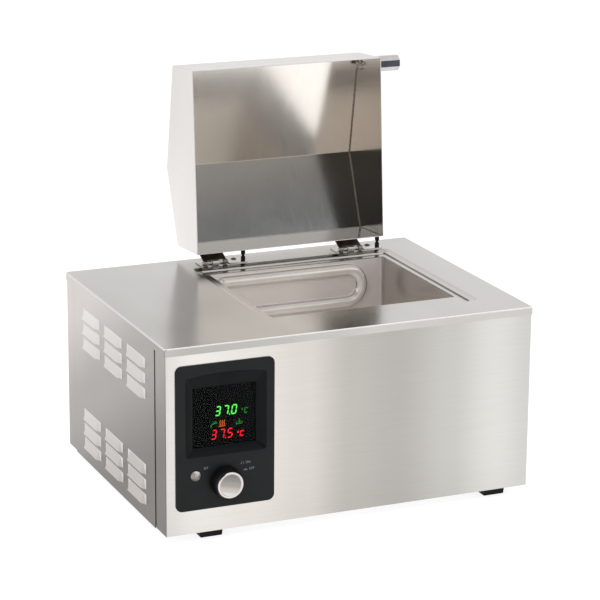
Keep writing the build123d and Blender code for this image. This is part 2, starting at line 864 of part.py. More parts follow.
def make_control_bezel():
    plate = extrude(facing(body_front) * bezel_outline(0), bezel_proud)
    plate = chamfer(plate.faces().sort_by(Axis.Y)[0].edges(), 0.8)
    body = extrude(facing(bezel_back) * bezel_outline(bezel_lip), bezel_back - body_front)
    inside = extrude(facing(bezel_back + 1) * bezel_outline(bezel_lip + bezel_wall),
                     bezel_back + 1 - bezel_front - 3 * bezel_wall / 2)
    tub = extrude(facing(recess_floor_y + bezel_wall) * Pos(display_centre_x, window_centre_z)
                  * Rectangle(window_width + 10, window_height + 10),
                  bezel_wall + display_recess_depth - 1)
    bezel = plate + body - inside
    bezel += tub
    outer = arched_outline(display_left, display_left + display_recess_width,
                           display_top - display_recess_height, display_top,
                           display_recess_arch, 4.0)
    inner = arched_outline(display_centre_x - window_width / 2, display_centre_x + window_width / 2,
                           window_top - window_height, window_top, 0.5, 2.0)
    bevel = loft([facing(bezel_front) * outer, facing(recess_floor_y) * inner], ruled=True)
    backing = loft([facing(bezel_front + bezel_wall) * offset(outer, 0.5),
                    facing(recess_floor_y + bezel_wall) * offset(inner, 3.0)], ruled=True)
    bezel += backing
    bezel -= bevel
    through = Pos(display_centre_x, window_centre_z) * Rectangle(window_width - 3, window_height - 3)
    bezel -= extrude(facing(recess_floor_y + bezel_wall + 1) * through, bezel_wall + 2)
    seat = Pos(display_centre_x, window_centre_z) * Rectangle(window_width - 1, window_height - 1)
    bezel -= extrude(facing(recess_floor_y + window_sheet + seam_gap) * seat,
                     window_sheet + seam_gap + 0.1)
    bezel -= rod((knob_x, bezel_front - 1, knob_z), (knob_x, bezel_back, knob_z), bush_radius + 0.1)
    sleeve_end = bezel_front + 8
    sleeve = rod((button_x, bezel_front + 1, button_z), (button_x, sleeve_end, button_z),
                 button_radius + 2)
    bezel += sleeve
    bezel -= rod((button_x, bezel_front - 1, button_z), (button_x, sleeve_end + 1, button_z),
                 button_radius + button_clearance)
    for x, z in boss_points():
        bezel += rod((x, bezel_front + 2, z), (x, bezel_back, z), 3.2)
    return bezel


def boss_points():
    inset = bezel_lip + bezel_wall + 3.5
    xs = (bezel_left + inset, bezel_left + bezel_width - inset)
    zs = (bezel_bottom + inset, bezel_top - inset)
    return [(x, z) for x in xs for z in zs]


def make_display_window():
    pane = Pos(display_centre_x, window_centre_z) * Rectangle(window_width - 1.4, window_height - 1.4)
    return extrude(facing(recess_floor_y + window_sheet) * pane, window_sheet)


def make_display_module():
    front = recess_floor_y + window_sheet + module_gap
    return block(display_centre_x - module_width / 2, display_centre_x + module_width / 2,
                 front, board_front, module_centre_z - module_height / 2,
                 module_centre_z + module_height / 2)


def make_display_board():
    x0, x1 = bezel_left + bezel_lip + 1, bezel_left + bezel_width - bezel_lip - 1
    z0, z1 = bezel_bottom + bezel_lip + 1, bezel_top - bezel_lip - 1
    board = block(x0, x1, board_front, board_back, z0, z1)
    half = encoder_size / 2 + seam_gap
    return board - block(knob_x - half, knob_x + half, board_front - 1, board_back + 1,
                         knob_z - half, knob_z + half)


def make_board_screws():
    screws = []
    for x, z in boss_points():
        screws.append(rod((x, board_back, z), (x, board_back + 2, z), 2.6))
    return Compound(screws)


def encoder_front():
    return bezel_front + 3 * bezel_wall / 2 + pin_clearance


def make_encoder_body():
    front = encoder_front()
    half = encoder_size / 2
    body = block(knob_x - half, knob_x + half, front, board_back + encoder_depth,
                 knob_z - half, knob_z + half)
    body += rod((knob_x, bezel_front - bush_proud, knob_z), (knob_x, front + 1, knob_z),
                bush_radius)
    return body - rod((knob_x, bezel_front - bush_proud - 1, knob_z),
                      (knob_x, encoder_floor(), knob_z), spindle_radius + pin_clearance)


def encoder_floor():
    return board_back + encoder_depth - 2


def make_bush_nut():
    nut = facing(bezel_front - pin_clearance) * Pos(knob_x, knob_z) * (
        RegularPolygon(7.0, 6) - Circle(bush_radius + 0.1))
    return extrude(nut, bush_nut_height)


def knob_base():
    return bezel_front - knob_gap


def knob_span():
    return knob_length - knob_gap


def turned(profile, x, y, z):
    """Revolve a profile of (radius, distance towards the front) about an axis along Y."""
    place = Plane(origin=(x, y, z), x_dir=(1, 0, 0), z_dir=(0, 0, -1))
    return revolve(place * profile, Axis((x, y, z), (0, 1, 0)))


def dome(radius, edge, crown):
    """Profile arc from an edge to a crown on the axis, as part of a sphere."""
    rise = crown - edge
    sphere = (radius ** 2 + rise ** 2) / (2 * rise)
    half = asin(radius / abs(sphere)) / 2
    middle = (abs(sphere) * sin(half), crown - sphere * (1 - cos(half)))
    return ThreePointArc((radius, edge), middle, (0, crown))


def plunger_front():
    return encoder_floor() - knob_travel - plunger_length - seam_gap


def make_knob_spindle():
    front = knob_base() - knob_span() + cap_seat
    back = plunger_front() - 2 * pin_clearance
    return rod((knob_x, front, knob_z), (knob_x, back, knob_z), spindle_radius)


def make_encoder_plunger():
    start = plunger_front()
    return rod((knob_x, start, knob_z), (knob_x, start + plunger_length, knob_z), spindle_radius)


def make_knob_skirt():
    span, bore = knob_span(), spindle_radius + pin_clearance
    inside, cap = knob_radius - knob_wall, knob_cap_radius
    hub_start = bush_proud + knob_travel + 2 * seam_gap - knob_gap
    profile = make_face([
        Polyline((bore, hub_start), (2 * bore, hub_start), (2 * bore, knob_pocket),
                 (inside, knob_pocket), (inside, 0), (knob_radius, 0), (knob_radius, span / 4)),
        ThreePointArc((knob_radius, span / 4),
                      ((knob_radius + cap) / 2 + 0.6, span * 0.6), (cap, span - cap_rim)),
        Polyline((cap, span - cap_rim), (cap - knob_wall / 2, span - cap_rim),
                 (cap - knob_wall / 2, span - cap_seat), (bore, span - cap_seat),
                 (bore, hub_start)),
    ])
    return turned(profile, knob_x, knob_base(), knob_z)


def make_knob_cap():
    span, r = knob_span(), knob_cap_radius
    plug = r - knob_wall / 2 - pin_clearance
    dish = r - knob_wall
    profile = make_face([
        Polyline((0, span - cap_seat), (plug, span - cap_seat), (plug, span - cap_rim),
                 (r, span - cap_rim), (r, span - 0.6), (r - 0.7, span), (dish + 0.5, span),
                 (dish, span - 0.6)),
        dome(dish, span - 0.6, span - 1.7),
        Line((0, span - 1.7), (0, span - cap_seat)),
    ])
    return turned(profile, knob_x, knob_base(), knob_z)


def make_set_button():
    """Domed cap, drawn from its shoulder inside the bezel to the crown, and its stem."""
    shoulder = bezel_front + 5
    crown = shoulder - bezel_front + button_proud
    stem = switch_top() - shoulder - 2 * pin_clearance
    r = button_radius
    profile = make_face([
        Polyline((0, -stem), (2.0, -stem), (2.0, 0), (r, 0), (r, crown - 2.2)),
        ThreePointArc((r, crown - 2.2), (r - 0.6, crown - 1.4), (r - 1.8, crown - 1.0)),
        dome(r - 1.8, crown - 1.0, crown),
        Line((0, crown), (0, -stem)),
    ])
    return turned(profile, button_x, shoulder, button_z)


def switch_top():
    return board_front - 2.0


def make_button_switch():
    """Tact switch: a ring whose middle gives way to the button's stem."""
    switch = block(button_x - 3.5, button_x + 3.5, switch_top() - 1.0, board_front,
                   button_z - 3.5, button_z + 3.5)
    return switch - rod((button_x, switch_top() - 2, button_z),
                        (button_x, switch_top() + button_travel, button_z), 2.4)


# Electrics

def make_transformer_core():
    w, h, z0 = transformer_width, transformer_height, tray_top
    x, y, half = compartment_x, transformer_y, transformer_length / 2
    core = block(x - w / 2, x + w / 2, y - half, y + half, z0, z0 + h)
    for side in (-1, 1):
        middle = x + side * w / 4
        core -= block(middle - w / 12, middle + w / 12, y - 2 * half, y + 2 * half,
                      z0 + h / 5, z0 + h * 4 / 5)
    return core


def make_transformer_coil():
    w, h, z0 = transformer_width, transformer_height, tray_top
    x, y, half = compartment_x, transformer_y, transformer_length / 2
    gap = seam_gap
    ring = block(x - w / 3 + gap, x + w / 3 - gap, y - half - coil_overhang,
                 y + half + coil_overhang, z0 + h / 5 + gap, z0 + h * 4 / 5 - gap)
    ring = fillet(ring.edges().filter_by(Axis.Z), coil_overhang / 3)
    return ring - block(x - w / 6 - gap, x + w / 6 + gap, y - half - gap, y + half + gap,
                        z0, z0 + h)


def control_board_x():
    return partition_x - sheet - standoff_length


def control_board_box():
    y, z = control_board_y, plate_top / 2
    half_length, half_height = control_board_length / 2, control_board_height / 2
    return y - half_length, y + half_length, z - half_height, z + half_height


def control_board_corners():
    y0, y1, z0, z1 = control_board_box()
    inset = control_board_height / 16
    return [(y, z) for y in (y0 + inset, y1 - inset) for z in (z0 + inset, z1 - inset)]


def make_control_board():
    y0, y1, z0, z1 = control_board_box()
    x = control_board_x()
    board = block(x - board_sheet, x, y0, y1, z0, z1)
    for y, z in control_board_corners():
        board -= rod((x - 2 * board_sheet, y, z), (x + board_sheet, y, z), 1.6)
    face = x - board_sheet
    length, height = control_board_length, control_board_height
    chip = block(face - 2, face, y0 + 0.38 * length, y0 + 0.5 * length,
                 z0 + 0.32 * height, z0 + 0.46 * height)
    plug = block(face - 9, face, y0 + 0.11 * length, y0 + 0.34 * length,
                 z1 - 0.15 * height, z1 - 0.05 * height)
    return board + chip + plug


def make_relay():
    _, y1, z0, _ = control_board_box()
    face = control_board_x() - board_sheet
    right, low = y1 - relay_width, z0 + relay_width
    return block(face - relay_height, face, right - relay_length, right, low, low + relay_width)


def make_capacitors():
    _, y1, _, z1 = control_board_box()
    face = control_board_x() - board_sheet
    z = z1 - 3 * capacitor_radius
    return Compound([rod((face, y, z), (face - capacitor_height, y, z), capacitor_radius)
                     for y in (y1 - 8 * capacitor_radius, y1 - 5 * capacitor_radius)])


def make_board_standoffs():
    wall, x = partition_x - sheet, control_board_x()
    posts = []
    for y, z in control_board_corners():
        posts.append(rod((wall, y, z), (x, y, z), 3.0)
                     + rod((x + 0.5, y, z), (x - board_sheet - 3, y, z), 1.5)
                     + rod((x - board_sheet, y, z), (x - board_sheet - 2, y, z), 2.8))
    return Compound(posts)


def heat_sink_x():
    """Where the fins meet the sink's plate."""
    return -body_half_width + heat_sink_from_left + heat_sink_depth - heat_sink_plate


def make_heat_sink():
    x, y = heat_sink_x(), heat_sink_y
    half, z0, z1 = heat_sink_length / 2, tray_top, tray_top + heat_sink_height
    sink = block(x, x + heat_sink_plate, y - half, y + half, z0, z1)
    fin_half = heat_sink_length / heat_sink_fins / 8
    pitch = (heat_sink_length - 2 * fin_half) / (heat_sink_fins - 1)
    for i in range(heat_sink_fins):
        fin = y - half + fin_half + i * pitch
        sink += block(x + heat_sink_plate - heat_sink_depth, x, fin - fin_half, fin + fin_half,
                      z0, z1)
    return sink


def make_power_switch():
    x, y = heat_sink_x() + heat_sink_plate, heat_sink_y
    z = tray_top + heat_sink_height / 2
    half_length, half_height = power_switch_length / 2, power_switch_height / 2
    return block(x, x + power_switch_depth, y - half_length, y + half_length,
                 z - half_height, z + half_height)


def make_terminal_block():
    x, y, z0 = compartment_x, terminal_block_y, tray_top
    half, top = terminal_block_length / 2, tray_top + terminal_block_height
    rail = block(x - half, x + half, y - terminal_block_width / 2,
                 y + terminal_block_width / 2, z0, top)
    pitch = terminal_block_length / terminal_poles
    for i in range(terminal_poles):
        hole = x - half + (i + 0.5) * pitch
        rail -= rod((hole, y, z0 + terminal_block_height / 2), (hole, y, top + 1), pitch / 4)
    return rail


def make_mains_inlet():
    w, h = inlet_flange_width / 2, inlet_flange_height / 2
    bw, bh = inlet_body_width / 2, inlet_body_height / 2
    face = body_rear + 3.0
    depth = inlet_socket_depth + 4
    socket = block(inlet_x - w, inlet_x + w, body_rear, face, inlet_z - h, inlet_z + h)
    socket = fillet(socket.edges().filter_by(Axis.Y), 3)
    socket += block(inlet_x - bw, inlet_x + bw, face - depth, body_rear, inlet_z - bh, inlet_z + bh)
    mouth = make_face(Polyline((-12.3, -8), (12.3, -8), (12.3, 4), (8.3, 8.3), (-8.3, 8.3),
                               (-12.3, 4), close=True))
    hole = extrude(Pos(inlet_x, face + 1, inlet_z) * Rot(90, 0, 0) * mouth, inlet_socket_depth + 1)
    socket -= hole
    for dx, dz in inlet_pin_points():
        socket -= block(inlet_x + dx - 1.2, inlet_x + dx + 1.2, face - depth - 1,
                        face - inlet_socket_depth + 1, inlet_z + dz - 2.2, inlet_z + dz + 2.2)
    for side in (-1, 1):
        x = inlet_x + side * (w - 5)
        socket -= rod((x, face + 1, inlet_z), (x, body_rear - 1, inlet_z), 1.7)
    return socket


def inlet_pin_points():
    return [(-7, -2), (7, -2), (0, 2.6)]


def make_inlet_pins():
    face = body_rear + 3.0
    return Compound([
        block(inlet_x + dx - 1, inlet_x + dx + 1, face - inlet_socket_depth - 9, face - 3,
              inlet_z + dz - 2, inlet_z + dz + 2)
        for dx, dz in inlet_pin_points()
    ])


def make_rear_screws():
    screws = []
    for x, z in rear_screw_points():
        head = rod((x, body_rear, z), (x, body_rear + 1.8, z), 3.0)
        head = fillet(head.edges().sort_by(Axis.Y)[-1], 1.0)
        screws.append(head + rod((x, body_rear + 0.5, z), (x, body_rear - 5, z),
                                 rear_screw_radius))
    return Compound(screws)


parts = {
    "top_plate": make_top_plate(),
    "inner_tank": make_inner_tank(),
    "front_panel": make_front_panel(),
    "rear_panel": make_rear_panel(),
    "left_side_panel": make_left_side_panel(),
    "right_side_panel": make_side_panel(1),
    "base_tray": make_base_tray(),
    "partition_plate": make_partition(),
    "foot_screws": make_foot_screws(),
    "rear_screws": make_rear_screws(),
    "heater_element": make_heater(),
    "heater_terminals": make_heater_terminals(),
    "heater_clamp": make_heater_clamp(),
    "tank_insulation": make_insulation(),
    "temperature_sensor": make_temperature_sensor(),
    "overheat_cutout": make_overheat_cutout(),
    "lid_shell": make_lid_shell(),
    "lid_left_end": make_lid_end(-1),
    "lid_right_end": make_lid_end(1),
    "lid_handle": make_lid_handle(),
    "handle_collar": make_handle_collar(),
    "handle_screw": make_handle_screw(),
    "hinge_screws": make_hinge_screws(),
    "control_bezel": make_control_bezel(),
    "display_window": make_display_window(),
    "display_module": make_display_module(),
    "display_board": make_display_board(),
    "board_screws": make_board_screws(),
    "encoder_body": make_encoder_body(),
    "encoder_plunger": make_encoder_plunger(),
    "bush_nut": make_bush_nut(),
    "knob_spindle": make_knob_spindle(),
    "knob_skirt": make_knob_skirt(),
    "knob_cap": make_knob_cap(),
    "set_button": make_set_button(),
    "button_switch": make_button_switch(),
    "transformer_core": make_transformer_core(),
    "transformer_coil": make_transformer_coil(),
    "control_board": make_control_board(),
    "board_standoffs": make_board_standoffs(),
    "relay": make_relay(),
    "capacitors": make_capacitors(),
    "heat_sink": make_heat_sink(),
    "power_switch_module": make_power_switch(),
    "terminal_block": make_terminal_block(),
    "mains_inlet": make_mains_inlet(),
    "inlet_pins": make_inlet_pins(),
}
for name, centre in foot_centres.items():
    parts["foot_" + name] = make_foot(*centre)
for name, left in zip(("left", "right"), hinge_lefts):
    parts["hinge_base_" + name] = make_hinge_base(left)
    parts["hinge_pin_" + name] = make_hinge_pin(left)
    parts["hinge_leaf_" + name] = make_hinge_leaf(left)
    parts["lid_stop_" + name] = make_lid_stop(left)

os.makedirs("parts", exist_ok=True)
for name, shape in parts.items():
    export_step(shape, f"parts/{name}.step")
    print(name, "volume", round(shape.volume), "solids", len(shape.solids()))
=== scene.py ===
import json
import math

import bmesh
import bpy
from mathutils import Matrix, Vector

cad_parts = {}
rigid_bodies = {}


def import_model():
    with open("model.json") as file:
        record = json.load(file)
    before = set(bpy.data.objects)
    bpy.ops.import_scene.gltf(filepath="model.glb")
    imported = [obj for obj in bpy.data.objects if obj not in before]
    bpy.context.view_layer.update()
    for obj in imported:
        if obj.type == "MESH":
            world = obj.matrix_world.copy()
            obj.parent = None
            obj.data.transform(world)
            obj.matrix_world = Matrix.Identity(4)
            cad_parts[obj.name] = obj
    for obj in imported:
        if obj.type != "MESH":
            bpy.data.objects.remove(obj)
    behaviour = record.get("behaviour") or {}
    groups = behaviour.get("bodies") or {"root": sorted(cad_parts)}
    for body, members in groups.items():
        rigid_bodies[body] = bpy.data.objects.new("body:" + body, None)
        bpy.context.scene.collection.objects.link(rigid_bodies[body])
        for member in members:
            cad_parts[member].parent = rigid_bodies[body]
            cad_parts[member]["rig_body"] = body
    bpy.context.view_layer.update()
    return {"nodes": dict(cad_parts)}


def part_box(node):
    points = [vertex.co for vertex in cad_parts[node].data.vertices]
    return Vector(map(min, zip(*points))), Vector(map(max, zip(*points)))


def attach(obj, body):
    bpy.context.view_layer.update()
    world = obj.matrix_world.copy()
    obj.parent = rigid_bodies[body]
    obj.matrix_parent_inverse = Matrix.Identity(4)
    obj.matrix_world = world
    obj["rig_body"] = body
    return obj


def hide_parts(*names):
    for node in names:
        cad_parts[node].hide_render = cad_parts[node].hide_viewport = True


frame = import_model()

mm = 0.001


# Sockets and node trees

class Wire:
    def __init__(self, graph, socket):
        self.graph, self.socket = graph, socket

    def __add__(self, other):
        return self.graph.maths("ADD", self, other)

    def __radd__(self, other):
        return self.graph.maths("ADD", other, self)

    def __sub__(self, other):
        return self.graph.maths("SUBTRACT", self, other)

    def __rsub__(self, other):
        return self.graph.maths("SUBTRACT", other, self)

    def __mul__(self, other):
        return self.graph.maths("MULTIPLY", self, other)

    def __truediv__(self, other):
        return self.graph.maths("DIVIDE", self, other)


class Graph:
    def __init__(self, tree):
        self.tree = tree

    def node(self, kind, values=None, output=0, **settings):
        made = self.tree.nodes.new(kind)
        for name, value in settings.items():
            if name == "stops":
                ramp = made.color_ramp
                while len(ramp.elements) < len(value):
                    ramp.elements.new(0.5)
                for stop, (position, colour) in zip(ramp.elements, value):
                    stop.position, stop.color = position, (*colour, 1)
            elif name == "easing":
                made.color_ramp.interpolation = value
            else:
                setattr(made, name, value)
        for name, value in (values or {}).items():
            for wire in value if isinstance(value, list) else [value]:
                if isinstance(wire, Wire):
                    self.tree.links.new(wire.socket, made.inputs[name])
                else:
                    made.inputs[name].default_value = wire
        return Wire(self, made.outputs[output]) if made.outputs else None

    def maths(self, operation, *values):
        return self.node("ShaderNodeMath", dict(enumerate(values)), operation=operation)

    def mixColours(self, factor, first, second, blend="MIX"):
        values = {0: factor, 6: first, 7: second}
        return self.node("ShaderNodeMix", values, 2, data_type="RGBA", blend_type=blend)

    def noise(self, place, scale, detail=3.0, roughness=0.55):
        values = {"Vector": place, "Scale": scale, "Detail": detail, "Roughness": roughness}
        return self.node("ShaderNodeTexNoise", values)

    def stretched(self, place, scale):
        return self.node("ShaderNodeMapping", {"Vector": place, "Scale": scale})

    def part(self, vector, axis):
        return self.node("ShaderNodeSeparateXYZ", {"Vector": vector}, axis)

    def ramp(self, factor, stops, easing="LINEAR"):
        return self.node("ShaderNodeValToRGB", {"Fac": factor}, stops=stops, easing=easing)

    def vector(self, **values):
        return self.node("ShaderNodeCombineXYZ", values)


def newFinish(name):
    material = bpy.data.materials.new(name)
    material.use_nodes = True
    material.node_tree.nodes.clear()
    return material, Graph(material.node_tree)


def surface(graph, values):
    shader = graph.node("ShaderNodeBsdfPrincipled", values)
    graph.node("ShaderNodeOutputMaterial", {"Surface": shader})


def objectPlace(graph):
    return graph.node("ShaderNodeTexCoord", output="Object")


def bumped(graph, height, strength, distance):
    return graph.node("ShaderNodeBump", {"Height": height, "Strength": strength, "Distance": distance})


noiseSpan = (0.30, 0.70)
grainDepth = 0.2 * mm


def toned(graph, noise, low, high):
    return graph.ramp(noise, list(zip(noiseSpan, (low, high))))


# Metals: fine grain along one axis, a faint cloud, and on some sheets painted light and shade laid along a
# slope over the sheet

def cloudOver(graph, place, look):
    return graph.noise(graph.stretched(place, look["bandScale"]), 1.0, detail=2.0, roughness=0.5)


def cloudTone(graph, place, look):
    return toned(graph, cloudOver(graph, place, look), look["dark"], look["light"])


def paintedLightTone(graph, place, look):
    x, y, z = (graph.part(place, axis) for axis in range(3))
    ax, ay, az = look["drift"]
    # Painted light and shade: the tone follows a slope over the sheet, with a little cloud in it
    drift = x * ax + y * ay + z * az + look["driftStart"]
    drift = drift + (cloudOver(graph, place, look) - 0.5) * look["cloud"]
    return graph.ramp(drift, look["tones"], "EASE")


def steelSheet(name, look, tone=cloudTone):
    material, graph = newFinish(name)
    place = objectPlace(graph)
    grain = graph.noise(graph.stretched(place, look["grainScale"]), 1.0, detail=4.0, roughness=0.7)
    smear = graph.noise(place, look["smearScale"])
    streak = toned(graph, grain, (1 - look["grain"],) * 3, (1 + look["grain"],) * 3)
    base = graph.mixColours(1.0, tone(graph, place, look), streak, "MULTIPLY")
    roughness = look["roughness"] + (grain - 0.5) * look["grainRoughness"] + (smear - 0.5) * look["smear"]
    surface(graph, {"Base Color": base, "Metallic": look["metallic"], "Roughness": roughness,
                    "Normal": bumped(graph, grain, look["bump"], grainDepth)})
    return material


# The front's tones are painted reflection bands, light and dark across its width
frontLook = {
    "drift": (2.137, 0, 0), "driftStart": 0.5, "cloud": 0.05, "roughness": 0.34, "metallic": 1.0,
    "tones": [(0.0, (0.72, 0.69, 0.66)), (0.08, (0.83, 0.80, 0.765)), (0.22, (0.77, 0.73, 0.69)),
              (0.37, (0.68, 0.64, 0.60)), (0.50, (0.50, 0.475, 0.445)), (0.63, (0.455, 0.44, 0.415)),
              (0.78, (0.555, 0.545, 0.515)), (0.90, (0.69, 0.68, 0.65)), (1.0, (0.60, 0.59, 0.565))],
    "grainScale": (18, 60, 900), "bandScale": (9, 3, 1.2), "smearScale": 14.0,
    "grain": 0.035, "grainRoughness": 0.08, "smear": 0.06, "bump": 0.06,
}
plainLook = {**frontLook, "dark": (0.60, 0.58, 0.555), "light": (0.72, 0.70, 0.67)}
plateLook = {
    **frontLook, "dark": (0.445, 0.43, 0.41), "light": (0.56, 0.54, 0.52),
    "grainScale": (18, 900, 60), "bandScale": (7, 3, 1), "roughness": 0.20, "grain": 0.02,
    "bump": 0.04,
}
# The side's tones are painted shade, darker towards the bottom and the front
sideLook = {
    **frontLook, "drift": (0, 1.93, 3.7), "driftStart": -0.06, "roughness": 0.36,
    "tones": [(0.0, (0.17, 0.155, 0.145)), (0.5, (0.34, 0.32, 0.305)), (1.0, (0.60, 0.56, 0.54))],
    "grainScale": (60, 18, 900), "bandScale": (2, 5, 3), "grain": 0.03,
}
# The hoods take a lighter copy of the side's painted shade, as painted light
louvreLook = {
    **sideLook, "tones": [(0.0, (0.52, 0.485, 0.46)), (0.5, (0.68, 0.645, 0.62)), (1.0, (0.84, 0.81, 0.785))],
}
lidOutsideLook = {
    **frontLook, "dark": (0.68, 0.66, 0.64), "light": (0.80, 0.77, 0.75),
    "grainScale": (700, 700, 22), "bandScale": (4, 4, 2),
}
# Painted light inside the lid, with painted shade that darkens it lower down
lidInsideLook = {
    **frontLook, "drift": (0, 0, 4.255), "driftStart": -1.064, "cloud": 0.06, "roughness": 0.15,
    "tones": [(0.0, (0.84, 0.82, 0.79)), (0.45, (0.90, 0.85, 0.79)), (1.0, (0.90, 0.85, 0.79))],
    "grainScale": (240, 220, 24), "bandScale": (9, 5, 5), "smearScale": 9.0,
    "grain": 0.03, "grainRoughness": 0.03, "bump": 0.04,
}
# Painted shade: a near black copy of the lid's inside steel for the inner face of its rear wall
lidWallPaintedShadeLook = {**lidInsideLook, "tones": [(0.0, (0.06, 0.06, 0.058)), (1.0, (0.06, 0.06, 0.058))]}
tankLook = {
    **frontLook, "dark": (0.80, 0.755, 0.72), "light": (0.90, 0.86, 0.82), "roughness": 0.20,
    "metallic": 0.5, "grainScale": (160, 160, 40), "bandScale": (9, 9, 5), "smearScale": 16.0,
    "grain": 0.015, "grainRoughness": 0.03, "bump": 0.03,
}
# Painted light for the tank's front wall, and painted shade for its right wall and the top of its bead
tankPaintedLightLook = {**tankLook, "dark": (0.93, 0.91, 0.88), "light": (0.97, 0.955, 0.93), "metallic": 0.15}
tankShadeLook = {**tankLook, "dark": (0.42, 0.385, 0.36), "light": (0.55, 0.515, 0.485), "metallic": 0.7}
polishedLook = {
    **frontLook, "dark": (0.44, 0.42, 0.40), "light": (0.64, 0.62, 0.60), "roughness": 0.14,
    "grainScale": (420, 420, 420), "bandScale": (60, 60, 60), "smearScale": 60.0,
    "grain": 0.05, "grainRoughness": 0.05, "smear": 0.08, "bump": 0.05,
}
hingeLook = {**polishedLook, "dark": (0.20, 0.17, 0.15), "light": (0.40, 0.36, 0.33), "roughness": 0.2}
handleLook = {**polishedLook, "dark": (0.50, 0.495, 0.49), "light": (0.62, 0.61, 0.60), "roughness": 0.13}
# Painted dark reflection on the handle's front facet: a near black copy of the handle steel
handleFrontPaintedReflectionLook = {**handleLook, "dark": (0.055, 0.06, 0.07), "light": (0.09, 0.095, 0.11)}
zincLook = {
    **frontLook, "dark": (0.46, 0.47, 0.48), "light": (0.62, 0.63, 0.63), "roughness": 0.42,
    "grainScale": (140, 140, 140), "bandScale": (24, 24, 24), "smearScale": 40.0,
    "grain": 0.08, "grainRoughness": 0.10, "smear": 0.20, "bump": 0.10,
}
frontPaintedBandsSteel = steelSheet("frontPaintedBandsSteel", frontLook, paintedLightTone)
plainSteel = steelSheet("plainSteel", plainLook)
plateSteel = steelSheet("plateSteel", plateLook)
# Painted highlight for the rolled front and left edge of the top plate
rollHighlightSteel = steelSheet("rollHighlightSteel", {**plateLook, "dark": (0.90, 0.88, 0.86), "light": (0.95, 0.94, 0.92)})
sidePaintedShadeSteel = steelSheet("sidePaintedShadeSteel", sideLook, paintedLightTone)
louvrePaintedLightSteel = steelSheet("louvrePaintedLightSteel", louvreLook, paintedLightTone)
lidOutsideSteel = steelSheet("lidOutsideSteel", lidOutsideLook)
lidInsidePaintedShadeSteel = steelSheet("lidInsidePaintedShadeSteel", lidInsideLook, paintedLightTone)
lidWallPaintedShadeSteel = steelSheet("lidWallPaintedShadeSteel", lidWallPaintedShadeLook, paintedLightTone)
tankSteel = steelSheet("tankSteel", tankLook)
tankPaintedLightSteel = steelSheet("tankPaintedLightSteel", tankPaintedLightLook)
tankShadeSteel = steelSheet("tankShadeSteel", tankShadeLook)
polishedSteel = steelSheet("polishedSteel", polishedLook)
hingeSteel = steelSheet("hingeSteel", hingeLook)
handleSteel = steelSheet("handleSteel", handleLook)
handleFrontPaintedReflectionSteel = steelSheet("handleFrontPaintedReflectionSteel", handleFrontPaintedReflectionLook)
zincPlate = steelSheet("zincPlate", zincLook)
brass = steelSheet("brass", {
    **polishedLook, "dark": (0.55, 0.38, 0.14), "light": (0.75, 0.55, 0.24), "roughness": 0.24})
aluminium = steelSheet("aluminium", {
    **zincLook, "dark": (0.55, 0.56, 0.57), "light": (0.70, 0.71, 0.72), "roughness": 0.38})
darkIron = steelSheet("darkIron", {
    **zincLook, "dark": (0.09, 0.085, 0.08), "light": (0.16, 0.15, 0.14),
    "grainScale": (90, 2400, 90), "grain": 0.3})
heaterSheath = steelSheet("heaterSheath", {
    **zincLook, "dark": (0.12, 0.115, 0.11), "light": (0.24, 0.22, 0.21), "roughness": 0.5})


def spunMetal(name, look):
    material, graph = newFinish(name)
    values = {"Vector": objectPlace(graph), "Location": look["centre"]}
    place = graph.node("ShaderNodeMapping", values, vector_type="TEXTURE")
    across, up = graph.part(place, 0), graph.part(place, 2)
    reach = graph.maths("SQRT", across * across + up * up) / look["radius"]
    rings = graph.noise(graph.vector(X=reach * look["rings"]), 1.0, roughness=0.7)
    # Painted light and shade across the face by height, and a painted highlight on the rim
    slope = up / look["radius"] * 0.5 + across / look["radius"] * look["sideways"] + 0.5
    face = graph.ramp(slope, look["tones"], "EASE")
    rimEnd = look["rimStart"] + look["rimBlend"]
    rim = graph.ramp(reach, [(look["rimStart"], (0, 0, 0)), (rimEnd, (1, 1, 1))])
    base = graph.mixColours(rim, face, (*look["rim"], 1))
    ring = toned(graph, rings, (look["ringDark"],) * 3, (1.0,) * 3)
    surface(graph, {"Base Color": graph.mixColours(1.0, base, ring, "MULTIPLY"), "Metallic": 1.0,
                    "Roughness": look["roughness"] + (rings - 0.5) * look["ringRoughness"],
                    "Normal": bumped(graph, rings, look["bump"], look["bumpDepth"])})
    return material


# Plastics, rubber, glass and the rest

def moulded(name, look):
    material, graph = newFinish(name)
    place = objectPlace(graph)
    texture = graph.noise(place, look["textureScale"], detail=2.0, roughness=0.6)
    cloud = graph.noise(place, look["cloudScale"])
    base = toned(graph, cloud, look["dark"], look["light"])
    roughness = look["roughness"] + (cloud - 0.5) * look["cloudRoughness"]
    surface(graph, {"Base Color": base, "Roughness": roughness, "Specular IOR Level": look["shine"],
                    "Normal": bumped(graph, texture, look["bump"], grainDepth)})
    return material


blackLook = {
    "dark": (0.0095, 0.011, 0.0115), "light": (0.0135, 0.0155, 0.016), "roughness": 0.40, "shine": 0.16,
    "textureScale": 1500.0, "cloudScale": 30.0, "cloudRoughness": 0.10, "bump": 0.10,
}
paintLook = {**blackLook, "shine": 0.5}
blackPlastic = moulded("blackPlastic", blackLook)
glossBlack = moulded("glossBlack", {
    **blackLook, "dark": (0.005, 0.005, 0.006), "light": (0.008, 0.008, 0.009), "roughness": 0.22,
    "bump": 0.03})
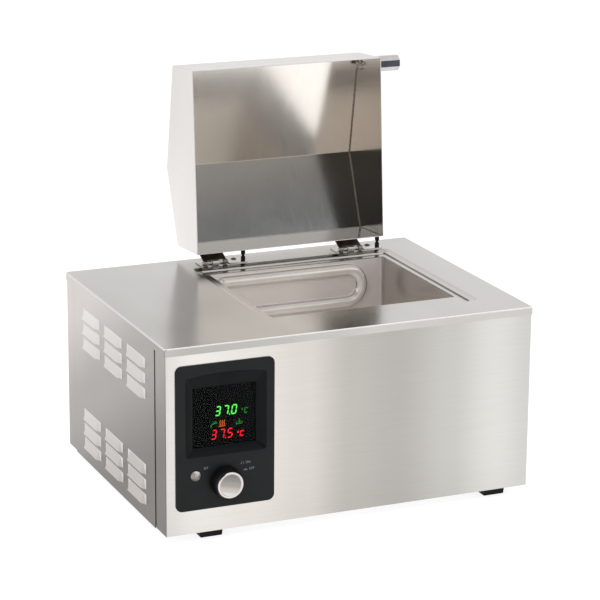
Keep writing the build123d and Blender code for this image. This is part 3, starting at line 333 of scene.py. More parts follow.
# Painted shade for the sloping walls of the display recess
recessPaintedShadeBlack = moulded("recessPaintedShadeBlack", {
    **blackLook, "dark": (0.0035, 0.0045, 0.005), "light": (0.0055, 0.0065, 0.007), "roughness": 0.34,
    "shine": 0.10})
rubber = moulded("rubber", {
    **blackLook, "dark": (0.008, 0.008, 0.008), "light": (0.015, 0.0145, 0.014), "roughness": 0.62,
    "textureScale": 900.0, "bump": 0.25})
whiteCeramic = moulded("whiteCeramic", {
    **paintLook, "dark": (0.72, 0.70, 0.66), "light": (0.82, 0.81, 0.78), "roughness": 0.35})
mineralWool = moulded("mineralWool", {
    **paintLook, "dark": (0.42, 0.38, 0.26), "light": (0.62, 0.57, 0.42), "roughness": 0.9,
    "textureScale": 420.0, "cloudScale": 70.0, "bump": 0.9})
circuitBoard = moulded("circuitBoard", {
    **paintLook, "dark": (0.012, 0.085, 0.035), "light": (0.020, 0.120, 0.050), "roughness": 0.35})
copperWinding = moulded("copperWinding", {
    **paintLook, "dark": (0.32, 0.11, 0.04), "light": (0.46, 0.18, 0.07), "roughness": 0.35,
    "textureScale": 1800.0, "bump": 0.4})
creamPlastic = moulded("creamPlastic", {
    **paintLook, "dark": (0.60, 0.56, 0.44), "light": (0.68, 0.64, 0.52)})
bluePlastic = moulded("bluePlastic", {
    **paintLook, "dark": (0.02, 0.08, 0.28), "light": (0.03, 0.10, 0.34), "roughness": 0.35})
moduleBlack = moulded("moduleBlack", {
    **blackLook, "dark": (0.003, 0.0035, 0.004), "light": (0.006, 0.0065, 0.007), "roughness": 0.5,
    "shine": 0.05})
printGrey = moulded("printGrey", {
    **paintLook, "dark": (0.17, 0.18, 0.19), "light": (0.25, 0.26, 0.27), "roughness": 0.5})
weldBrown = moulded("weldBrown", {
    **paintLook, "dark": (0.11, 0.085, 0.065), "light": (0.26, 0.215, 0.175),
    "textureScale": 700.0, "cloudScale": 260.0, "bump": 0.4})


def smokedGlass(name, look):
    material, graph = newFinish(name)
    dust = graph.noise(objectPlace(graph), look["dustScale"], detail=4.0)
    tint = graph.mixColours(dust, (*look["dark"], 1), (*look["light"], 1))
    surface(graph, {"Base Color": tint, "Roughness": look["roughness"] + dust * look["dustRoughness"],
                    "Alpha": look["alpha"] + dust * look["dustAlpha"], "Specular IOR Level": look["shine"]})
    return material


def litSegments(name, low, high, strength, scale=240.0, roughness=0.5):
    material, graph = newFinish(name)
    glow = graph.noise(objectPlace(graph), scale, detail=2.0)
    light = graph.mixColours(glow, (*low, 1), (*high, 1))
    surface(graph, {"Base Color": light, "Roughness": roughness, "Emission Color": light,
                    "Emission Strength": strength})
    return material


smoked = smokedGlass("smokedWindow", {
    "dark": (0.003, 0.0035, 0.004), "light": (0.006, 0.0065, 0.007), "dustScale": 60.0,
    "roughness": 0.06, "dustRoughness": 0.06, "alpha": 0.22, "dustAlpha": 0.04, "shine": 0.10})
greenLight = litSegments("greenLight", (0.05, 0.95, 0.06), (0.13, 1.0, 0.13), strength=1.6)
redLight = litSegments("redLight", (1.0, 0.003, 0.008), (1.0, 0.008, 0.02), strength=1.35)
greenDim = litSegments("greenDim", (0.006, 0.24, 0.012), (0.01, 0.31, 0.018), strength=1.0)
orangeLight = litSegments("orangeLight", (0.62, 0.12, 0.003), (0.75, 0.165, 0.005), strength=1.0)
print("finishes made")


# Dressing: a node copied, merged, with soft edges and clean shading

mergeLook = {"distance": 0.002, "angle": 0.15}


def addObject(name, data):
    made = bpy.data.objects.new(name, data)
    bpy.context.scene.collection.objects.link(made)
    return made


def looseCopy(name, node):
    mesh = frame["nodes"][node].data.copy()
    mesh.name = name
    work = bmesh.new()
    work.from_mesh(mesh)
    bmesh.ops.remove_doubles(work, verts=work.verts, dist=mergeLook["distance"] * mm)
    limit = math.radians(mergeLook["angle"])
    bmesh.ops.dissolve_limit(work, angle_limit=limit, verts=work.verts, edges=work.edges, delimit={"NORMAL"})
    work.to_mesh(mesh)
    work.free()
    if mesh.attributes.get("custom_normal"):
        mesh.attributes.remove(mesh.attributes["custom_normal"])
    mesh.materials.clear()
    return mesh


def place(name, mesh, material, node):
    piece = addObject(name, mesh)
    if material is not None:
        mesh.materials.append(material)
    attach(piece, frame["nodes"][node]["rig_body"])
    return piece


def softShading(mesh, angle):
    mesh.polygons.foreach_set("use_smooth", [True] * len(mesh.polygons))
    mesh.set_sharp_from_angle(angle=math.radians(angle))


def softEdges(piece, width, angle, segments=2):
    bevel = piece.modifiers.new("softEdges", "BEVEL")
    bevel.width, bevel.segments = width * mm, segments
    bevel.limit_method, bevel.angle_limit = "ANGLE", math.radians(angle)
    bevel.use_clamp_overlap, bevel.harden_normals = True, False
    piece.modifiers.new("faceNormals", "WEIGHTED_NORMAL").keep_sharp = True


def secondFinish(piece, material, chosen):
    piece.data.materials.append(material)
    for face in piece.data.polygons:
        if chosen(face):
            face.material_index = len(piece.data.materials) - 1


def dress(node, material, width=0.3, angle=35):
    mesh = looseCopy(node + "_dressed", node)
    softShading(mesh, angle)
    piece = place(mesh.name, mesh, material, node)
    if width:
        softEdges(piece, width, angle)
    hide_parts(node)
    return piece


def rollEdges(piece, chosen, radius, segments=4):
    work = bmesh.new()
    work.from_mesh(piece.data)
    edges = [edge for edge in work.edges if len(edge.link_faces) == 2 and chosen(edge)]
    bmesh.ops.bevel(work, geom=edges, offset=radius * mm, segments=segments, profile=0.5, affect="EDGES",
                    clamp_overlap=True)
    work.to_mesh(piece.data)
    work.free()


def frozen(shape, name):
    ready = shape.evaluated_get(bpy.context.evaluated_depsgraph_get())
    mesh = bpy.data.meshes.new_from_object(ready)
    mesh.name = name
    bpy.data.objects.remove(shape)
    return mesh


# Growing: node trees with named inputs, fed from the sizes of a piece

def inputName(key):
    return "".join(" " + letter if letter.isupper() else letter for letter in key).title()


def inputLengths(look, keys):
    return {inputName(key): look[key] * mm for key in keys}


def newTree(name, inputs):
    tree = bpy.data.node_groups.new(name, "GeometryNodeTree")
    tree.interface.new_socket("Geometry", in_out="INPUT", socket_type="NodeSocketGeometry")
    for label, kind in inputs.items():
        tree.interface.new_socket(label, in_out="INPUT", socket_type="NodeSocket" + kind)
    tree.interface.new_socket("Geometry", in_out="OUTPUT", socket_type="NodeSocketGeometry")
    graph = Graph(tree)
    source = tree.nodes.new("NodeGroupInput")
    given = {socket.name: Wire(graph, socket) for socket in source.outputs if socket.name}
    return tree, graph, given


def withFinish(graph, shape, material, selection=True):
    values = {"Geometry": shape, "Selection": selection, "Material": material}
    return graph.node("GeometryNodeSetMaterial", values)


def grown(name, tree, seedMesh, sizes, thickness=0):
    seed = addObject(name + "_seed", seedMesh)
    growth = seed.modifiers.new("growth", "NODES")
    growth.node_group = tree
    for item in tree.interface.items_tree:
        if item.in_out == "INPUT" and item.name in sizes:
            growth[item.identifier] = sizes[item.name]
    if thickness:
        wall = seed.modifiers.new("sheetThickness", "SOLIDIFY")
        wall.thickness, wall.offset = thickness, -1
    return frozen(seed, name)


# Pieces that keep their own mesh and take a finish only

cadFinishes = {
    "base_tray": zincPlate, "partition_plate": zincPlate, "foot_screws": zincPlate,
    "heater_element": heaterSheath, "heater_terminals": whiteCeramic, "heater_clamp": zincPlate,
    "tank_insulation": mineralWool, "temperature_sensor": polishedSteel,
    "overheat_cutout": whiteCeramic, "display_module": moduleBlack, "display_board": circuitBoard,
    "board_screws": zincPlate, "encoder_body": zincPlate, "encoder_plunger": brass,
    "bush_nut": polishedSteel, "knob_spindle": brass, "button_switch": blackPlastic,
    "transformer_core": darkIron, "transformer_coil": copperWinding,
    "control_board": circuitBoard, "board_standoffs": brass, "relay": bluePlastic,
    "capacitors": blackPlastic, "heat_sink": aluminium, "power_switch_module": blackPlastic,
    "terminal_block": creamPlastic, "inlet_pins": brass,
}
for node, material in cadFinishes.items():
    mesh = frame["nodes"][node].data
    for slotIndex in range(len(mesh.materials)):
        mesh.materials[slotIndex] = material


# Top plate and panels: a painted highlight on the rolled edge in front and on the left, and painted shade on
# the left side

plateLow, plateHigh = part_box("top_plate")
edgeRoll = {"radius": 1.5, "reach": 0.05, "drop": 2.0, "inward": 3.0, "tilt": 0.1, "level": 0.98}
leftTilt = 0.6


def leftward(face):
    return face.normal.x < -leftTilt


def plateRim(edge):
    near = edgeRoll["reach"] * mm
    middle = (edge.verts[0].co + edge.verts[1].co) / 2
    onTop = all(abs(vert.co.z - plateHigh.z) < near for vert in edge.verts)
    gaps = [abs(middle[axis] - end[axis]) for axis in (0, 1) for end in (plateLow, plateHigh)]
    return onTop and min(gaps) < near


def paintedRollHighlight(face):
    spot, turned = face.center, face.normal
    inward = edgeRoll["inward"] * mm
    onEdge = spot.y < plateLow.y + inward or spot.x < plateLow.x + inward
    onTop = spot.z > plateHigh.z - edgeRoll["drop"] * mm and edgeRoll["tilt"] < turned.z < edgeRoll["level"]
    return onEdge and onTop and min(turned.x, turned.y) < -edgeRoll["tilt"]


plate = dress("top_plate", plateSteel, 0.25)
rollEdges(plate, plateRim, edgeRoll["radius"])
secondFinish(plate, sidePaintedShadeSteel, leftward)
secondFinish(plate, rollHighlightSteel, paintedRollHighlight)
secondFinish(dress("front_panel", frontPaintedBandsSteel, 0.25), sidePaintedShadeSteel, leftward)
secondFinish(dress("rear_panel", plainSteel, 0.25), sidePaintedShadeSteel, leftward)
dress("right_side_panel", plainSteel, 0.4)


# Tank: painted light on the front wall, and painted shade on the right wall and over the pressed bead at the
# back

tankLow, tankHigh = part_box("inner_tank")
beadShade = {
    "reach": 14.0, "wall": 4.5, "side": 12.0, "floor": 20.0,
    "forward": 0.1, "upward": 0.45, "rightward": 0.5, "corner": 0.3, "square": 0.9,
}


def shadedBead(face):
    spot, turned = face.center, face.normal
    side = tankHigh.x - beadShade["side"] * mm
    nearBack = spot.y > tankHigh.y - beadShade["reach"] * mm
    onBead = nearBack and spot.x < side and spot.y < tankHigh.y - beadShade["wall"] * mm
    upOrRight = turned.z > beadShade["upward"] or turned.x > beadShade["rightward"]
    beadTop = onBead and upOrRight and turned.y < -beadShade["forward"]
    corner = nearBack and spot.x > side and max(turned.x, turned.y) < -beadShade["corner"]
    return spot.z > tankLow.z + beadShade["floor"] * mm and (beadTop or corner)


def shadedTank(face):
    return face.normal.x < -beadShade["square"] or shadedBead(face)


tank = dress("inner_tank", tankSteel, 0.0)
secondFinish(tank, tankPaintedLightSteel, lambda face: face.normal.y > beadShade["square"])
secondFinish(tank, tankShadeSteel, shadedTank)


# Bezel: painted shade makes the display recess darker than its face

bezelLow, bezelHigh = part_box("control_bezel")
recessEdges = {"left": 11.0, "right": 9.0, "bottom": 58.0, "top": 11.0, "depth": 0.02, "backward": 0.5}


def inRecess(face):
    spot = face.center
    across = bezelLow.x + recessEdges["left"] * mm < spot.x < bezelHigh.x - recessEdges["right"] * mm
    up = bezelLow.z + recessEdges["bottom"] * mm < spot.z < bezelHigh.z - recessEdges["top"] * mm
    behind = spot.y > bezelLow.y + recessEdges["depth"] * mm
    return across and up and behind and face.normal.y < recessEdges["backward"]


secondFinish(dress("control_bezel", blackPlastic, 0.3), recessPaintedShadeBlack, inRecess)
dress("display_window", smoked, 0.2)
dress("mains_inlet", blackPlastic, 0.3)
for corner in ("front_left", "front_right", "rear_left", "rear_right"):
    dress("foot_" + corner, rubber, 0.4)
for side in ("left", "right"):
    dress("hinge_base_" + side, polishedSteel, 0.2)
    dress("hinge_leaf_" + side, hingeSteel, 0.2)
    dress("hinge_pin_" + side, polishedSteel, 0.1)
    dress("lid_stop_" + side, rubber, 0.1)
print("housing, hinges and feet dressed")


# Left side panel: a slotted sheet, laid flat at first, with rows of pressed hoods grown over its slots

sideLow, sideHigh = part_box("left_side_panel")
louvreSizes = {
    "columns": 3, "rows": 3, "pitchAlong": 80.9, "pitchUp": 18.7, "middle": -0.8,
    "lowerRow": 30.2, "upperRow": 159.8, "length": 62.5, "end": 7.4, "height": 12.0,
    "proud": 4.5, "softness": 0.35, "blend": 1.2, "raised": 0.25, "thickness": 1.0,
    "pointsAlong": 51, "pointsUp": 13, "sharpFrom": 30,
    "left": -sideHigh.y / mm, "right": -sideLow.y / mm, "bottom": sideLow.z / mm, "top": sideHigh.z / mm,
}
louvreKeys = ("pitchAlong", "pitchUp", "middle", "lowerRow", "upperRow", "length", "end", "height",
              "proud", "softness")


def louvreTree(look):
    sizes = {inputName(key): "Float" for key in louvreKeys}
    tree, graph, given = newTree("louvres", {
        "Columns": "Int", "Rows": "Int", **sizes, "Sheet": "Material", "Hood": "Material"})
    hood = graph.node("GeometryNodeMeshGrid", {
        "Size X": given["Length"], "Size Y": given["Height"],
        "Vertices X": look["pointsAlong"], "Vertices Y": look["pointsUp"]})
    spot = graph.node("GeometryNodeInputPosition")
    along, up = graph.part(spot, 0), graph.part(spot, 1)
    half = given["Length"] * 0.5 - given["End"]
    beyond = graph.maths("SMOOTH_MAX", graph.maths("ABSOLUTE", along) - half, 0.0, look["blend"] * mm)
    rise = given["Proud"] * (1 - (up / given["Height"] + 0.5) - beyond / given["End"])
    rise = graph.maths("MAXIMUM", rise, 0.0)
    lift = graph.vector(Z=rise * rise / (rise + given["Softness"]))
    hood = graph.node("GeometryNodeSetPosition", {"Geometry": hood, "Offset": lift})
    rowsHigh = given["Pitch Up"] * (given["Rows"] - 1)
    blocks = []
    for row in ("Lower Row", "Upper Row"):
        spots = graph.node("GeometryNodeMeshGrid", {
            "Size X": given["Pitch Along"] * (given["Columns"] - 1), "Size Y": rowsHigh,
            "Vertices X": given["Columns"], "Vertices Y": given["Rows"]})
        middle = given[row] + rowsHigh * 0.5 + given["Height"] * 0.5
        move = graph.vector(X=given["Middle"], Y=middle)
        blocks.append(graph.node("GeometryNodeTransform", {"Geometry": spots, "Translation": move}))
    spots = graph.node("GeometryNodeJoinGeometry", {"Geometry": blocks})
    hoods = graph.node("GeometryNodeInstanceOnPoints", {"Points": spots, "Instance": hood})
    sheet = withFinish(graph, given["Geometry"], given["Sheet"])
    whole = graph.node("GeometryNodeJoinGeometry", {"Geometry": [hoods, sheet]})
    whole = graph.node("GeometryNodeRealizeInstances", {"Geometry": whole})
    height = graph.part(graph.node("GeometryNodeInputPosition"), 2)
    limits = {0: height, 1: look["raised"] * mm}
    raised = graph.node("FunctionNodeCompare", limits, data_type="FLOAT", operation="GREATER_THAN")
    graph.node("NodeGroupOutput", {"Geometry": withFinish(graph, whole, given["Hood"], raised)})
    return tree


def slottedSheet(look):
    columns, rows = range(look["columns"]), range(look["rows"])
    centres = [look["middle"] + (step - (look["columns"] - 1) / 2) * look["pitchAlong"] for step in columns]
    lows = [look[row] + step * look["pitchUp"] for row in ("lowerRow", "upperRow") for step in rows]
    across = [look["left"], look["right"]] + [c + s * look["length"] / 2 for c in centres for s in (-1, 1)]
    up = [look["bottom"], look["top"]] + [low + s for low in lows for s in (0, look["height"])]
    work = bmesh.new()
    points = [[work.verts.new((x * mm, y * mm, 0)) for y in sorted(up)] for x in sorted(across)]
    for i, (here, beyond) in enumerate(zip(points, points[1:])):
        for j in range(len(here) - 1):
            if i % 2 == 0 or j % 2 == 0:
                work.faces.new((here[j], beyond[j], beyond[j + 1], here[j + 1]))
    mesh = bpy.data.meshes.new("slottedSheet")
    work.to_mesh(mesh)
    work.free()
    return mesh


def sideWithLouvres(look):
    # The sheet takes painted shade and the raised hoods painted light
    given = {"Columns": look["columns"], "Rows": look["rows"], "Sheet": sidePaintedShadeSteel, "Hood": louvrePaintedLightSteel,
             **inputLengths(look, louvreKeys)}
    mesh = grown("louvred_side", louvreTree(look), slottedSheet(look), given, look["thickness"] * mm)
    outside = sideHigh.x - look["thickness"] * mm
    mesh.transform(Matrix(((0, 0, -1, outside), (-1, 0, 0, 0), (0, 1, 0, 0), (0, 0, 0, 1))))
    softShading(mesh, look["sharpFrom"])
    piece = place(mesh.name, mesh, None, "left_side_panel")
    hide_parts("left_side_panel")


sideWithLouvres(louvreSizes)
print("louvred side grown")


# Screws: one form, grown on each place where a screw goes in

screwSizes = {
    "hinge_screws": {
        "headRadius": 4.2, "headHeight": 1.6, "shankRadius": 1.5, "shankLength": 6.2, "nutRadius": 3.55,
        "nutHeight": 2.4, "nutDrop": 3.4, "crossLength": 4.6, "crossWidth": 1.0, "turn": 0,
        "places": [(x, 154.0, 239.2) for x in (-48.8, -18.3, 137.9, 168.4)], "finish": hingeSteel},
    "rear_screws": {
        "headRadius": 3.0, "headHeight": 1.8, "shankRadius": 1.5, "shankLength": 5.0, "nutRadius": 1.6,
        "nutHeight": 1.0, "nutDrop": 3.0, "crossLength": 3.6, "crossWidth": 0.9, "turn": -90,
        "places": [(x, 176.8, z) for x in (-218.8, 0.0, 218.8) for z in (24.8, 216.0)],
        "finish": polishedSteel},
}
screwKeys = ("headRadius", "headHeight", "shankRadius", "shankLength", "nutRadius", "nutHeight", "nutDrop",
             "crossLength", "crossWidth")
screwDetail = {"segments": 32, "rings": 16, "shankSides": 16, "nutSides": 6, "mostTurn": 1.5, "seed": 7,
               "sharpFrom": 30}


def lifted(graph, shape, height):
    return graph.node("GeometryNodeTransform", {"Geometry": shape, "Translation": graph.vector(Z=height)})


def screwTree(detail):
    sizes = {inputName(key): "Float" for key in screwKeys}
    tree, graph, given = newTree("screws", {**sizes, "Finish": "Material"})
    radius, height = given["Head Radius"], given["Head Height"]
    head = graph.node("GeometryNodeMeshUVSphere", {
        "Segments": detail["segments"], "Rings": detail["rings"], "Radius": 1.0})
    flat = graph.vector(X=radius, Y=radius, Z=height)
    head = graph.node("GeometryNodeTransform", {"Geometry": head, "Scale": flat})
    cuts = []
    for first, second in (("Cross Length", "Cross Width"), ("Cross Width", "Cross Length")):
        bar = graph.vector(X=given[first], Y=given[second], Z=height)
        cuts.append(lifted(graph, graph.node("GeometryNodeMeshCube", {"Size": bar}), height))
    meshes = {"Mesh 1": head, "Mesh 2": cuts}
    head = graph.node("GeometryNodeMeshBoolean", meshes, operation="DIFFERENCE", solver="EXACT")
    shank = graph.node("GeometryNodeMeshCylinder", {
        "Vertices": detail["shankSides"], "Radius": given["Shank Radius"], "Depth": given["Shank Length"]})
    shank = lifted(graph, shank, given["Shank Length"] * -0.5)
    nut = graph.node("GeometryNodeMeshCylinder", {
        "Vertices": detail["nutSides"], "Radius": given["Nut Radius"], "Depth": given["Nut Height"]})
    nut = lifted(graph, nut, given["Nut Drop"] * -1.0)
    screw = graph.node("GeometryNodeJoinGeometry", {"Geometry": [head, shank, nut]})
    limits = {2: 0.0, 3: detail["mostTurn"], "Seed": detail["seed"]}
    chance = graph.node("FunctionNodeRandomValue", limits, 1, data_type="FLOAT")
    screws = graph.node("GeometryNodeInstanceOnPoints", {
        "Points": given["Geometry"], "Instance": screw, "Rotation": graph.vector(Z=chance)})
    screws = graph.node("GeometryNodeRealizeInstances", {"Geometry": screws})
    graph.node("NodeGroupOutput", {"Geometry": withFinish(graph, screws, given["Finish"])})
    return tree


def screwsFor(node, tree, look):
    turn = Matrix.Rotation(math.radians(look["turn"]), 4, "X")
    seedMesh = bpy.data.meshes.new(node + "_places")
    seedMesh.from_pydata([turn.inverted() @ (Vector(spot) * mm) for spot in look["places"]], [], [])
    given = {"Finish": look["finish"], **inputLengths(look, screwKeys)}
    mesh = grown(node + "_dressed", tree, seedMesh, given)
    mesh.transform(turn)
    softShading(mesh, screwDetail["sharpFrom"])
    piece = place(mesh.name, mesh, None, node)
    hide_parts(node)


screws = screwTree(screwDetail)
for node, look in screwSizes.items():
    screwsFor(node, screws, look)
print("screws grown")


# Lid: satin outside, painted light inside that is darker lower down, and painted shade on the inner face of
# its rear wall

lidLow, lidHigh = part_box("lid_shell")
lidSorting = {"middle": 30.0, "wall": 20.0, "endwise": 0.5, "upward": 0.8, "forward": 0.95}
lidMiddle = (lidLow + lidHigh) / 2
lidMiddle.y = lidLow.y + lidSorting["middle"] * mm


def insideLid(face):
    inward = face.normal.dot(lidMiddle - face.center) > 0
    return inward and abs(face.normal.x) < lidSorting["endwise"]


def insideRearWall(face):
    return face.normal.z > lidSorting["upward"] and face.center.z < lidLow.z + lidSorting["wall"] * mm


lidShell = dress("lid_shell", lidOutsideSteel, 0.15)
secondFinish(lidShell, lidInsidePaintedShadeSteel, insideLid)
secondFinish(lidShell, lidWallPaintedShadeSteel, insideRearWall)
for side, inward in (("left", 1), ("right", -1)):
    lidEnd = dress("lid_" + side + "_end", lidOutsideSteel, 0.15)
    secondFinish(lidEnd, lidInsidePaintedShadeSteel, lambda face: face.normal.x * inward > lidSorting["endwise"])
handle = dress("lid_handle", handleSteel, 0.35, 20)
# Painted dark reflection on the front facet of the handle
secondFinish(handle, handleFrontPaintedReflectionSteel, lambda face: face.normal.y < -lidSorting["forward"])
dress("handle_collar", aluminium, 0.3)
dress("handle_screw", polishedSteel, 0.2)


# Thin weld run down the inside corners of the lid ends, wavy as it was laid by hand

weldLook = {
    "radius": 0.55, "wave": 0.18, "waveLength": 7.0, "inset": 0.75, "step": 2.0, "swell": 0.35,
    "swellRate": 0.9, "sharpFrom": 60,
    "hinge": (138.5, 241.4), "openAngle": 94.1, "rear": 125.8, "bottom": 236.1,
    "profile": [(1.0, 2.0), (1.0, 70.4), (96.6, 101.0), (230.3, 68.4), (230.3, 2.0)],
}


def openedPoint(x, back, up, look):
    turn = -math.radians(look["openAngle"])
    y, z = look["rear"] - back - look["hinge"][0], look["bottom"] + up - look["hinge"][1]
    return Vector((x, look["hinge"][0] + y * math.cos(turn) - z * math.sin(turn),
                   look["hinge"][1] + y * math.sin(turn) + z * math.cos(turn)))


def weldSpots(x, look):
    corners = [openedPoint(x, back, up, look) for back, up in look["profile"]]
    spots = []
    for start, end in zip(corners, corners[1:]):
        count = max(2, int((end - start).length / look["step"]))
        for step in range(count):
            spot = start.lerp(end, step / count)
            spot.x += look["wave"] * math.sin(len(spots) * 2 * math.pi / look["waveLength"])
            spots.append(spot)
    return spots + corners[-1:]


def weldRun(name, x, look):
    spots = weldSpots(x, look)
    curve = bpy.data.curves.new(name, "CURVE")
    curve.dimensions, curve.bevel_depth, curve.bevel_resolution = "3D", look["radius"] * mm, 1
    curve.use_fill_caps = True
    line = curve.splines.new("POLY")
    line.points.add(len(spots) - 1)
    for point, spot in zip(line.points, spots):
        point.co = (*(spot * mm), 1)
        point.radius = 1 + look["swell"] * math.sin(spot.z * look["swellRate"] + spot.x)
    mesh = frozen(addObject(name + "_path", curve), name)
    softShading(mesh, look["sharpFrom"])
    mesh.materials.clear()
    piece = place(name, mesh, weldBrown, "lid_shell")


weldRun("lid_weld_right", lidHigh.x / mm - weldLook["inset"], weldLook)
weldRun("lid_weld_left", lidLow.x / mm + weldLook["inset"], weldLook)
print("lid dressed")


# Knob and button: turned metal, with painted light and shade that run from the foot of its face to the head,
# and a painted highlight on the rim

knobLow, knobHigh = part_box("knob_cap")
buttonLow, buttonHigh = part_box("set_button")
knobLook = {
    "centre": (knobLow + knobHigh) / 2, "radius": 15.6 * mm, "sideways": 0.12, "rings": 40,
    "rimStart": 0.80, "rimBlend": 0.05, "rim": (0.72, 0.69, 0.65), "ringDark": 0.95,
    "roughness": 0.18, "ringRoughness": 0.08, "bump": 0.15, "bumpDepth": 0.1 * mm,
    "tones": [(0.10, (0.72, 0.70, 0.67)), (0.28, (0.52, 0.49, 0.45)), (0.50, (0.36, 0.33, 0.30)),
              (0.72, (0.27, 0.26, 0.25)), (0.95, (0.20, 0.19, 0.18))],
}
buttonLook = {
    **knobLook, "centre": (buttonLow + buttonHigh) / 2, "radius": 6.2 * mm, "rimStart": 0.94,
    "roughness": 0.34,
    "tones": [(0.10, (0.16, 0.145, 0.13)), (0.45, (0.34, 0.315, 0.29)), (0.75, (0.56, 0.54, 0.51)),
              (0.95, (0.75, 0.74, 0.72))],
}
dress("knob_cap", spunMetal("knobPaintedLightMetal", knobLook), 0.0, 40)
dress("set_button", spunMetal("buttonPaintedLightMetal", buttonLook), 0.0, 70)
dress("knob_skirt", glossBlack, 0.0, 40)
print("controls dressed")


# Flat shapes in the face of the panel, drawn across and up in millimetres

def pushFaces(work, faces, push):
    pushed = bmesh.ops.extrude_face_region(work, geom=faces)
    moved = [item for item in pushed["geom"] if isinstance(item, bmesh.types.BMVert)]
    bmesh.ops.translate(work, verts=moved, vec=push)


def writeSolid(work, mesh):
    bmesh.ops.recalc_face_normals(work, faces=work.faces)
    work.to_mesh(mesh)
    work.free()


def flatShapes(name, shapes, look, material):
    work = bmesh.new()
    for shape in shapes:
        ring = [work.verts.new((x * mm, look["front"] * mm, z * mm)) for x, z in shape]
        pushFaces(work, [work.faces.new(ring)], (0, look["depth"] * mm, 0))
    mesh = bpy.data.meshes.new(name)
    writeSolid(work, mesh)
    piece = place(name, mesh, material, "display_module")


def ribbon(points, width):
    shapes = []
    for (x0, z0), (x1, z1) in zip(points, points[1:]):
        long = math.hypot(x1 - x0, z1 - z0) or 1
        ux, uz = (x1 - x0) / long * width / 2, (z1 - z0) / long * width / 2
        shapes.append([(x0 - ux + uz, z0 - uz - ux), (x1 + ux + uz, z1 + uz - ux),
                       (x1 + ux - uz, z1 + uz + ux), (x0 - ux - uz, z0 - uz + ux)])
    return shapes


def arc(x, z, radius, start, end, steps=10):
    turns = [math.radians(start + (end - start) * step / steps) for step in range(steps + 1)]
    return [(x + radius * math.cos(turn), z + radius * math.sin(turn)) for turn in turns]


# Display: slanted digits of seven segments, their degree signs and three small symbols

digitLook = {
    "height": 11.8, "width": 6.7, "stroke": 1.5, "gap": 0.2, "slant": 9.0, "pitch": 9.95,
    "dotBack": 1.9, "dotSize": 1.3, "front": -171.07, "depth": 0.07,
}
segmentsOf = {"3": "abcdg", "7": "abc", "0": "abcdef", "5": "acdfg"}


def slanted(shape, bottom, look):
    lean = math.tan(math.radians(look["slant"]))
    return [(x + lean * (z - bottom), z) for x, z in shape]


def digitShapes(digit, left, bottom, look):
    w, h, t, g = look["width"], look["height"], look["stroke"] / 2, look["gap"]
    x0, x1, z0, z1, z2 = left + t, left + w - t, bottom + t, bottom + h / 2, bottom + h - t
    ends = {"a": (x0, z2, x1, z2), "g": (x0, z1, x1, z1), "d": (x0, z0, x1, z0), "f": (x0, z1, x0, z2),
            "e": (x0, z0, x0, z1), "b": (x1, z1, x1, z2), "c": (x1, z0, x1, z1)}
    shapes = []
    for segment in segmentsOf[digit]:
        xa, za, xb, zb = ends[segment]
        if za == zb:
            shape = [(xa + g, za), (xa + g + t, za - t), (xb - g - t, za - t), (xb - g, za),
                     (xb - g - t, za + t), (xa + g + t, za + t)]
        else:
            shape = [(xa, za + g), (xa + t, za + g + t), (xa + t, zb - g - t), (xa, zb - g),
                     (xa - t, zb - g - t), (xa - t, za + g + t)]
        shapes.append(slanted(shape, bottom, look))
    return shapes


def reading(digits, left, bottom, look):
    shapes = []
    for count, digit in enumerate(digits):
        shapes += digitShapes(digit, left + count * look["pitch"], bottom, look)
    dot, size = left + look["pitch"] * 2 - look["dotBack"], look["dotSize"]
    point = [(dot, bottom), (dot + size, bottom), (dot + size, bottom + size), (dot, bottom + size)]
    return shapes + [point]


def degreesMark(x, z):
    letter = [(x + 7.6, z + 2.6), (x + 6.9, z + 3.1), (x + 4.9, z + 3.1), (x + 4.2, z + 2.2),
              (x + 3.6, z - 1.8), (x + 4.1, z - 2.7), (x + 6.2, z - 2.7), (x + 6.9, z - 2.1)]
    return ribbon(arc(x + 0.9, z + 2.2, 0.7, 0, 360, 8), 0.5) + ribbon(letter, 0.85)


def tapMark(x, z):
    return (ribbon([(x, z - 3.0), (x + 0.5, z - 0.8), (x + 1.8, z + 0.9), (x + 7.0, z + 1.7)], 1.1)
            + ribbon([(x + 4.6, z + 1.4), (x + 4.9, z + 2.9)], 0.8)
            + ribbon([(x + 3.7, z + 3.0), (x + 6.6, z + 3.3)], 0.6))


def heatMark(x, z):
    shapes = ribbon([(x - 0.3, z - 3.5), (x + 7.0, z - 3.1)], 0.9)
    for step in range(3):
        left = x + 0.6 + step * 2.5
        bar = [(left, z - 2.6), (left + 0.9, z - 1.0), (left + 0.1, z + 0.9), (left + 0.9, z + 3.4)]
        shapes += ribbon(bar, 0.85)
    return shapes


def levelMark(x, z):
    return (ribbon([(x, z - 0.4), (x + 0.2, z - 2.4), (x + 7.2, z - 1.7), (x + 7.4, z + 0.2)], 0.85)
            + ribbon([(x + 3.9, z + 3.6), (x + 3.8, z - 1.8)], 0.9)
            + ribbon([(x + 2.4, z + 0.5), (x + 5.4, z + 0.8)], 0.6))


maskLook = {"left": -197.4, "right": -122.0, "bottom": 115.5, "top": 184.9, "front": -171.0, "depth": 0.5}
readingPlaces = {
    "digits_set": ("370", -171.3, 149.4, greenLight),
    "digits_bath": ("375", -176.3, 121.5, redLight),
}
markPlaces = {
    "degrees_set": (degreesMark, -138.0, 152.2, greenDim),
    "degrees_bath": (degreesMark, -143.2, 124.9, redLight),
    "mark_tap": (tapMark, -175.6, 139.6, greenDim),
    "mark_heat": (heatMark, -165.4, 140.0, orangeLight),
    "mark_level": (levelMark, -144.6, 139.3, greenDim),
}


def maskOutline(look):
    left, right, bottom, top = (look[side] for side in ("left", "right", "bottom", "top"))
    return [(left, bottom), (right, bottom), (right, top), (left, top)]


